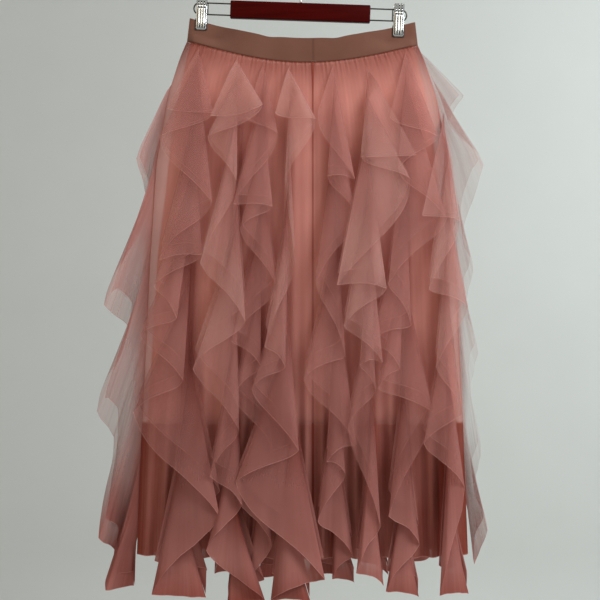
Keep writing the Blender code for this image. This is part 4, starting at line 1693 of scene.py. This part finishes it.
@dataclass
class Hanger:
    """The wooden bar, its hook and the wire loops that carry the clips."""

    form: SkirtForm = field(default_factory=SkirtForm)
    tilt: float = math.radians(2.0)
    hook_wire: float = 3.6
    hook_inside: float = 36.0
    stem_top: float = -62.0
    stem_bend: float = 8.0
    neck_bend: float = 14.0
    hook_sweep: float = 205.0
    bar_top: float = -85.5
    bar_size: tuple = (231.0, 12.0, 29.0)
    bar_round: float = 2.2
    collar: tuple = (
        # radius, height above the bar
        (0.0, 0.0), (2.9, 0.0), (3.1, 0.3), (2.9, 0.7), (2.2, 1.0), (1.9, 1.2),
    )
    rod_wire: float = 2.4
    rod_spacing: float = 19.0
    rod_middle: float = -100.0
    rod_loop_centre: float = 166.0
    clip_across: float = 162.5
    stop_across: float = 152.2

    @property
    def tilted(self) -> Matrix:
        """Return the turn that makes the hanger's right end a little lower."""
        return Matrix.Rotation(self.tilt, 4, "Y")

    def turned(self, points: Sequence[Vector]) -> list:
        """Return points turned with the hanger."""
        return [self.tilted @ point for point in points]

    def arc(self, centre: Vector, radius: float, start: float, end: float, count: int) -> list:
        """Return points along an arc in the hanger's plane, angles in degrees."""
        points = []
        for step in range(count + 1):
            angle = math.radians(mix(start, end, step / count))
            spoke = Vector((radius * math.cos(angle), 0.0, radius * math.sin(angle)))
            points.append(centre + spoke)
        return points

    def hook_line(self) -> list:
        """Return the hook's line, from its foot to its open end."""
        radius = (self.hook_inside + self.hook_wire) / 2.0
        centre = Vector((0.0, 0.0, -self.hook_inside / 2.0))
        first = Vector((0.0, 0.0, self.stem_top))
        bend = first + Vector((0.0, 0.0, self.stem_bend))
        last = centre + Vector((radius, 0.0, 0.0))
        pull = last - Vector((0.0, 0.0, self.neck_bend))
        line = [Vector((0.0, 0.0, mix(self.bar_top + 0.3, self.stem_top, step / 6)))
                for step in range(6)]
        for step in range(18):
            t = step / 18.0
            line.append((1 - t) ** 3 * first + 3 * (1 - t) ** 2 * t * bend
                        + 3 * (1 - t) * t * t * pull + t ** 3 * last)
        return line + self.arc(centre, radius, 0.0, self.hook_sweep, 44)

    def build_bar(self, material: bpy.types.Material) -> None:
        """Make the wooden bar with eased edges."""
        mesh = bmesh.new()
        bmesh.ops.create_cube(mesh, size=1.0)
        bmesh.ops.scale(mesh, vec=self.bar_size, verts=mesh.verts)
        bmesh.ops.bevel(mesh, geom=list(mesh.edges), offset=self.bar_round, segments=6,
                        profile=0.5, affect="EDGES", material=-1)
        middle = self.bar_top - self.bar_size[2] / 2.0
        bmesh.ops.translate(mesh, vec=(0.0, 0.0, middle), verts=mesh.verts)
        bmesh.ops.transform(mesh, matrix=Matrix.Scale(MM, 4) @ self.tilted, verts=mesh.verts)
        finished("hanger_bar_lacquered", mesh, material, "wood", ["hanger_bar"])

    def build_collar(self, material: bpy.types.Material) -> None:
        """Make the turned collar at the hook's foot."""
        mesh = bmesh.new()
        verts = [mesh.verts.new((radius, 0.0, self.bar_top + 0.05 + up))
                 for radius, up in self.collar]
        edges = [mesh.edges.new((a, b)) for a, b in zip(verts, verts[1:])]
        bmesh.ops.spin(mesh, geom=verts + edges, cent=(0, 0, 0), axis=(0, 0, 1), angle=2 * math.pi,
                       steps=32, use_merge=True)
        bmesh.ops.remove_doubles(mesh, verts=mesh.verts, dist=0.001)
        bmesh.ops.recalc_face_normals(mesh, faces=list(mesh.faces))
        put_in_order(mesh)
        bmesh.ops.transform(mesh, matrix=Matrix.Scale(MM, 4) @ self.tilted, verts=mesh.verts)
        finished("hanger_hook_collar", mesh, material, "steel_wire")

    def build_rods(self, flank: Flank, material: bpy.types.Material) -> None:
        """Make one wire loop and the stop beside its clip."""
        way = flank.value
        start = self.bar_size[0] / 2.0 + 0.3
        radius = self.rod_spacing / 2.0
        upper = [Vector((mix(start, self.rod_loop_centre, step / 8), 0.0, self.rod_middle + radius))
                 for step in range(8)]
        centre = Vector((self.rod_loop_centre, 0.0, self.rod_middle))
        loop = self.arc(centre, radius, 90.0, -90.0, 24)
        lower = [Vector((point.x, 0.0, self.rod_middle - radius)) for point in upper[::-1]]
        line = [Vector((way * point.x, point.y, point.z)) for point in upper + loop + lower]
        label = flank.name.lower()
        wire_piece(f"hanger_wire_{label}_loop", self.turned(line), self.rod_wire, material,
                   "steel_wire", [f"hanger_wire_{label}"])
        reach = radius - self.rod_wire / 2.0
        across = way * self.stop_across
        stop = [Vector((across, 0.0, self.rod_middle + mix(-reach, reach, step / 4)))
                for step in range(5)]
        wire_piece(f"hanger_stop_{label}", self.turned(stop), self.rod_wire * 0.8, material,
                   "steel_wire")

    def build(self, wardrobe: Wardrobe) -> None:
        """Make the whole hanger."""
        self.build_bar(wardrobe.lacquer)
        self.build_collar(wardrobe.bright)
        wire_piece("hanger_hook_wire", self.turned(self.hook_line()), self.hook_wire,
                   wardrobe.bright, "steel_wire", ["hanger_hook"], sides=20)
        for flank in Flank:
            self.build_rods(flank, wardrobe.steel)
            Clip(flank, self).build(wardrobe)


@dataclass
class Clip:
    """A sprung clip: two pressed chrome plates with black rubber jaws."""

    flank: Flank
    hanger: Hanger
    width: float = 17.0
    top: float = 17.6
    tip: float = -35.6
    jaw_face: float = 2.85
    jaw_wall: float = 2.6
    jaw_top: float = -17.0
    plate: float = 0.9
    flare: float = 5.0
    web: float = 5.5
    rib: float = 0.55
    rib_pitch: float = 4.2
    stud: float = 1.0
    stud_rows: int = 4
    stud_first: float = 3.0
    stud_rise: float = 4.1
    stud_pitch: float = 4.6
    pin: float = 1.2
    coil_wire: float = 0.5
    coil_radius: float = 2.9
    coil_half: float = 4.6
    coil_turns: int = 5
    coil_steps: int = 16
    columns: int = 44
    rows: int = 110

    @property
    def far(self) -> float:
        """Return how far out the plates' outer faces lie."""
        return self.jaw_face + self.jaw_wall

    @cached_property
    def studs(self) -> list:
        """Return the middle of every stud, across and up."""
        return [(column * self.stud_pitch, self.stud_first + self.stud_rise * row)
                for row in range(self.stud_rows) for column in (-1, 0, 1)]

    def profile(self, up: float) -> float:
        """Return how far out the plate lies at a height above the wires' middle."""
        handle = self.flare * smooth(self.web - 3.0, self.top + 6.0, up) * 1.35
        belly = 0.8 * math.exp(-((up + 25.0) / 7.0) ** 2)
        return self.far - 0.6 + handle + belly

    def relief(self, across: float, up: float) -> float:
        """Return how far the pressed ribs and studs stand out at a place."""
        inside = 1.0 - smooth(6.4, 7.6, abs(across))
        ribs = 0.5 + 0.5 * math.cos(2.0 * math.pi * across / self.rib_pitch)
        lower = smooth(self.tip + 1.5, self.tip + 4.0, up) * (1.0 - smooth(-1.5, 0.5, up))
        raised = self.rib * ribs * lower * inside
        for middle, level in self.studs:
            gap = math.hypot(across - middle, up - level)
            raised += self.stud * math.exp(-(gap / 1.35) ** 2)
        return raised

    def painted_hollow_shade(self, across: float, up: float) -> float:
        """Return the painted shade between the ribs and in the studs' hollows."""
        inside = 1.0 - smooth(6.6, 7.4, abs(across))
        ribs = 0.5 - 0.5 * math.cos(2.0 * math.pi * across / self.rib_pitch)
        lower = smooth(self.tip + 2.0, self.tip + 3.5, up) * (1.0 - smooth(-2.0, -0.5, up))
        dark = ribs ** 1.1 * lower * inside
        # Painted shade falls a little below each stud's middle.
        for middle, level in self.studs:
            gap = math.hypot(across - middle, up - level + 1.3)
            dark = max(dark, math.exp(-(gap / 1.25) ** 4))
        return 0.95 * dark

    def plate_point(self, column: int, row: int, side: Side) -> Vector:
        """Return a point of a plate's outer face, in millimetres."""
        bend, flange = 1.0, 1.5
        flat = self.width / 2.0 - bend
        whole = flat + bend * math.pi / 2.0 + flange
        along = mix(-whole, whole, column / self.columns)
        up = mix(self.tip, self.top, row / self.rows)
        excess = max(0.0, abs(along) - flat)
        angle = min(excess / bend, math.pi / 2.0)
        back = bend * (1.0 - math.cos(angle)) + max(0.0, excess - bend * math.pi / 2.0)
        across = min(abs(along), flat) + bend * math.sin(angle)
        corner = 1.0 - 0.22 * (1.0 - smooth(self.tip, self.tip + 3.0, up)) ** 2
        top_corner = 1.0 - 0.16 * smooth(self.top - 3.0, self.top, up) ** 2
        across = math.copysign(across * corner * top_corner, along)
        shallow = smooth(self.tip, self.tip + 6.0, up)
        shallow *= 1.0 - smooth(self.web, self.web + 6.0, up)
        out = self.profile(up) - back * mix(0.35, 1.0, shallow) + self.relief(across, up)
        return Vector((across, side.value * out, up))

    def settle(self, mesh: bmesh.types.BMesh) -> None:
        """Move a clip's shape, in millimetres round its own middle, to its place."""
        across = self.flank.value * self.hanger.clip_across
        place = Matrix.Translation((across, 0.0, self.hanger.rod_middle))
        matrix = Matrix.Scale(MM, 4) @ self.hanger.tilted @ place
        bmesh.ops.transform(mesh, matrix=matrix, verts=mesh.verts)

    def plates(self) -> bmesh.types.BMesh:
        """Return both pressed plates, with their thickness."""
        mesh = bmesh.new()
        shade = mesh.verts.layers.float.new("shade")
        for side in Side:
            made = bmesh.ops.create_grid(mesh, x_segments=self.columns, y_segments=self.rows,
                                         size=0.5)
            for vert in made["verts"]:
                column = round((vert.co.x + 0.5) * self.columns)
                row = round((vert.co.y + 0.5) * self.rows)
                vert.co = self.plate_point(column, row, side)
                vert[shade] = self.painted_hollow_shade(vert.co.x, vert.co.z)
            faces = joined(made["verts"], "link_faces")
            mesh.normal_update()
            total = sum((face.normal for face in faces), Vector())
            if total.y * side.value < 0.0:
                bmesh.ops.reverse_faces(mesh, faces=faces)
            bmesh.ops.solidify(mesh, geom=faces, thickness=self.plate)
        put_in_order(mesh)
        return mesh

    def pads(self) -> bmesh.types.BMesh:
        """Return the two rubber jaws, ridged where they grip."""
        mesh = bmesh.new()
        for side in Side:
            low, high = self.tip - 0.6, self.jaw_top
            depth = self.jaw_wall - 1.1
            made = bmesh.ops.create_cube(mesh, size=1.0)
            bmesh.ops.scale(mesh, vec=(self.width + 2.4, depth, high - low), verts=made["verts"])
            middle = (0.0, side.value * (self.jaw_face + depth / 2.0), (low + high) / 2.0)
            bmesh.ops.translate(mesh, vec=middle, verts=made["verts"])
            edges = joined(made["verts"], "link_edges")
            bmesh.ops.bevel(mesh, geom=edges, offset=0.6, segments=3, profile=0.5, affect="EDGES",
                            material=-1)
        return mesh

    def works(self) -> bmesh.types.BMesh:
        """Return the pin and the coil spring between the plates."""
        mesh = bmesh.new()
        half = self.width / 2.0 - 0.6
        pin = [Vector((way * half, 0.0, 0.0)) for way in (-1.0, 0.0, 1.0)]
        sweep_tube(mesh, pin, self.pin, 14)
        count = self.coil_turns * self.coil_steps
        coil = []
        for step in range(count + 1):
            angle = 2.0 * math.pi * step / self.coil_steps
            coil.append(Vector((mix(-self.coil_half, self.coil_half, step / count),
                                self.coil_radius * math.cos(angle),
                                self.coil_radius * math.sin(angle))))
        leg = Vector((coil[-1].x, self.far - 2.2, 13.0))
        coil += [coil[-1].lerp(leg, step / 4) for step in range(1, 5)]
        sweep_tube(mesh, coil, self.coil_wire, 8)
        return mesh

    def build(self, wardrobe: Wardrobe) -> None:
        """Make the clip's pieces."""
        label = self.flank.name.lower()
        for name, mesh, material, slot, nodes in (
            (f"clip_{label}_plates", self.plates(), wardrobe.chrome, "chrome", [f"clip_{label}"]),
            (f"clip_{label}_rubber", self.pads(), wardrobe.rubber, None, []),
            (f"clip_{label}_spring", self.works(), wardrobe.steel, "steel_wire", []),
        ):
            self.settle(mesh)
            finished(name, mesh, material, slot, nodes)


# --------------------------------------------------------------------- studio
class Light(NamedTuple):
    """A soft square light, in metres and watts, and what it faces if not the skirt."""

    name: str
    place: tuple
    power: float
    size: float
    colour: tuple
    target: Optional[tuple] = None


@dataclass
class Studio:
    """The pale floor and wall, the soft lights and the camera, in metres."""

    view_angle: float = math.radians(27.8)
    distance: float = 2.0
    aim: tuple = (-0.0040, 0.0, -0.5750)
    floor_height: float = -2.1
    wall_behind: float = 2.9
    sweep: float = 0.5
    half_width: float = 6.0
    floor_front: float = -5.0
    wall_top: float = 3.0
    room_colour: tuple = (0.90, 0.91, 0.90, 1.0)
    room_light: float = 0.32
    lights: tuple = (
        Light("key_light", (1.7, -1.9, 1.2), 84.0, 1.6, (0.93, 0.98, 1.0)),
        Light("fill_light", (-1.6, -2.2, 0.8), 13.0, 1.6, (1.0, 0.82, 0.56)),
        Light("wall_light", (3.0, 1.0, 0.7), 48.0, 0.8, (0.84, 0.96, 1.0), (1.1, 2.9, -0.1)),
    )

    def build_stage(self) -> None:
        """Make the floor and the wall as one sweep."""
        mesh = bmesh.new()
        line = [Vector((0.0, self.floor_front, self.floor_height))]
        for step in range(13):
            angle = math.radians(90.0 * step / 12)
            line.append(Vector((0.0, self.wall_behind - self.sweep + self.sweep * math.sin(angle),
                                self.floor_height + self.sweep - self.sweep * math.cos(angle))))
        line.append(Vector((0.0, self.wall_behind, self.wall_top)))
        verts = [mesh.verts.new(point - Vector((self.half_width, 0.0, 0.0))) for point in line]
        edges = [mesh.edges.new((a, b)) for a, b in zip(verts, verts[1:])]
        made = bmesh.ops.extrude_edge_only(mesh, edges=edges)
        moved = [item for item in made["geom"] if isinstance(item, bmesh.types.BMVert)]
        bmesh.ops.translate(mesh, vec=(2.0 * self.half_width, 0.0, 0.0), verts=moved)
        bmesh.ops.recalc_face_normals(mesh, faces=list(mesh.faces))
        data = bpy.data.meshes.new("stage_sweep")
        mesh.to_mesh(data)
        mesh.free()
        data.shade_smooth()
        paint = PlainFinish("pale_wall", (0.69, 0.69, 0.66), (0.67, 0.67, 0.64), 0.9, 3.0)
        data.materials.append(paint.make())
        sweep = bpy.data.objects.new("stage_sweep", data)
        bpy.context.scene.collection.objects.link(sweep)

    def build_light(self, light: Light) -> None:
        """Make one light."""
        data = bpy.data.lights.new(light.name, "AREA")
        data.energy = light.power
        data.size = light.size
        data.color = light.colour
        item = bpy.data.objects.new(light.name, data)
        item.location = light.place
        direction = Vector(light.target or self.aim) - Vector(light.place)
        item.rotation_euler = direction.to_track_quat("-Z", "Y").to_euler()
        bpy.context.scene.collection.objects.link(item)

    def build_world(self) -> None:
        """Make the even pale light all round."""
        world = bpy.data.worlds.new("pale_room")
        bpy.context.scene.world = world
        world.use_nodes = True
        background = world.node_tree.nodes["Background"]
        background.inputs["Color"].default_value = self.room_colour
        background.inputs["Strength"].default_value = self.room_light

    def build_camera(self) -> None:
        """Make the camera, square on to the skirt's middle."""
        data = bpy.data.cameras.new("camera")
        data.lens_unit = "FOV"
        data.angle = self.view_angle
        item = bpy.data.objects.new("camera", data)
        item.location = Vector(self.aim) - Vector((0.0, self.distance, 0.0))
        item.rotation_euler = (math.radians(90.0), 0.0, 0.0)
        bpy.context.scene.collection.objects.link(item)
        bpy.context.scene.camera = item

    def build(self) -> None:
        """Make the stage, the lights and the camera."""
        scene = bpy.context.scene
        scene.view_settings.view_transform = "Standard"
        scene.cycles.transparent_max_bounces = 32
        scene.cycles.max_bounces = 10
        self.build_stage()
        self.build_world()
        for light in self.lights:
            self.build_light(light)
        self.build_camera()


def main() -> None:
    """Dress the frame piece by piece."""
    logging.basicConfig(level=logging.INFO, format="%(name)s %(message)s")
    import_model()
    wardrobe = Wardrobe()
    Studio().build()
    Hanger().build(wardrobe)
    Waistband().build(wardrobe.elastic)
    SeamTack().build(wardrobe.thread)
    for side in Side:
        Lining(side).build(wardrobe.satin)
        NetPanel(side).build(wardrobe.base)
    for strip in front_strips() + BackRuffles().strips():
        strip.build(wardrobe.ruffle)
    for ruffle in side_ruffles():
        ruffle.build(wardrobe.ruffle)


if __name__ == "__main__":
    main()
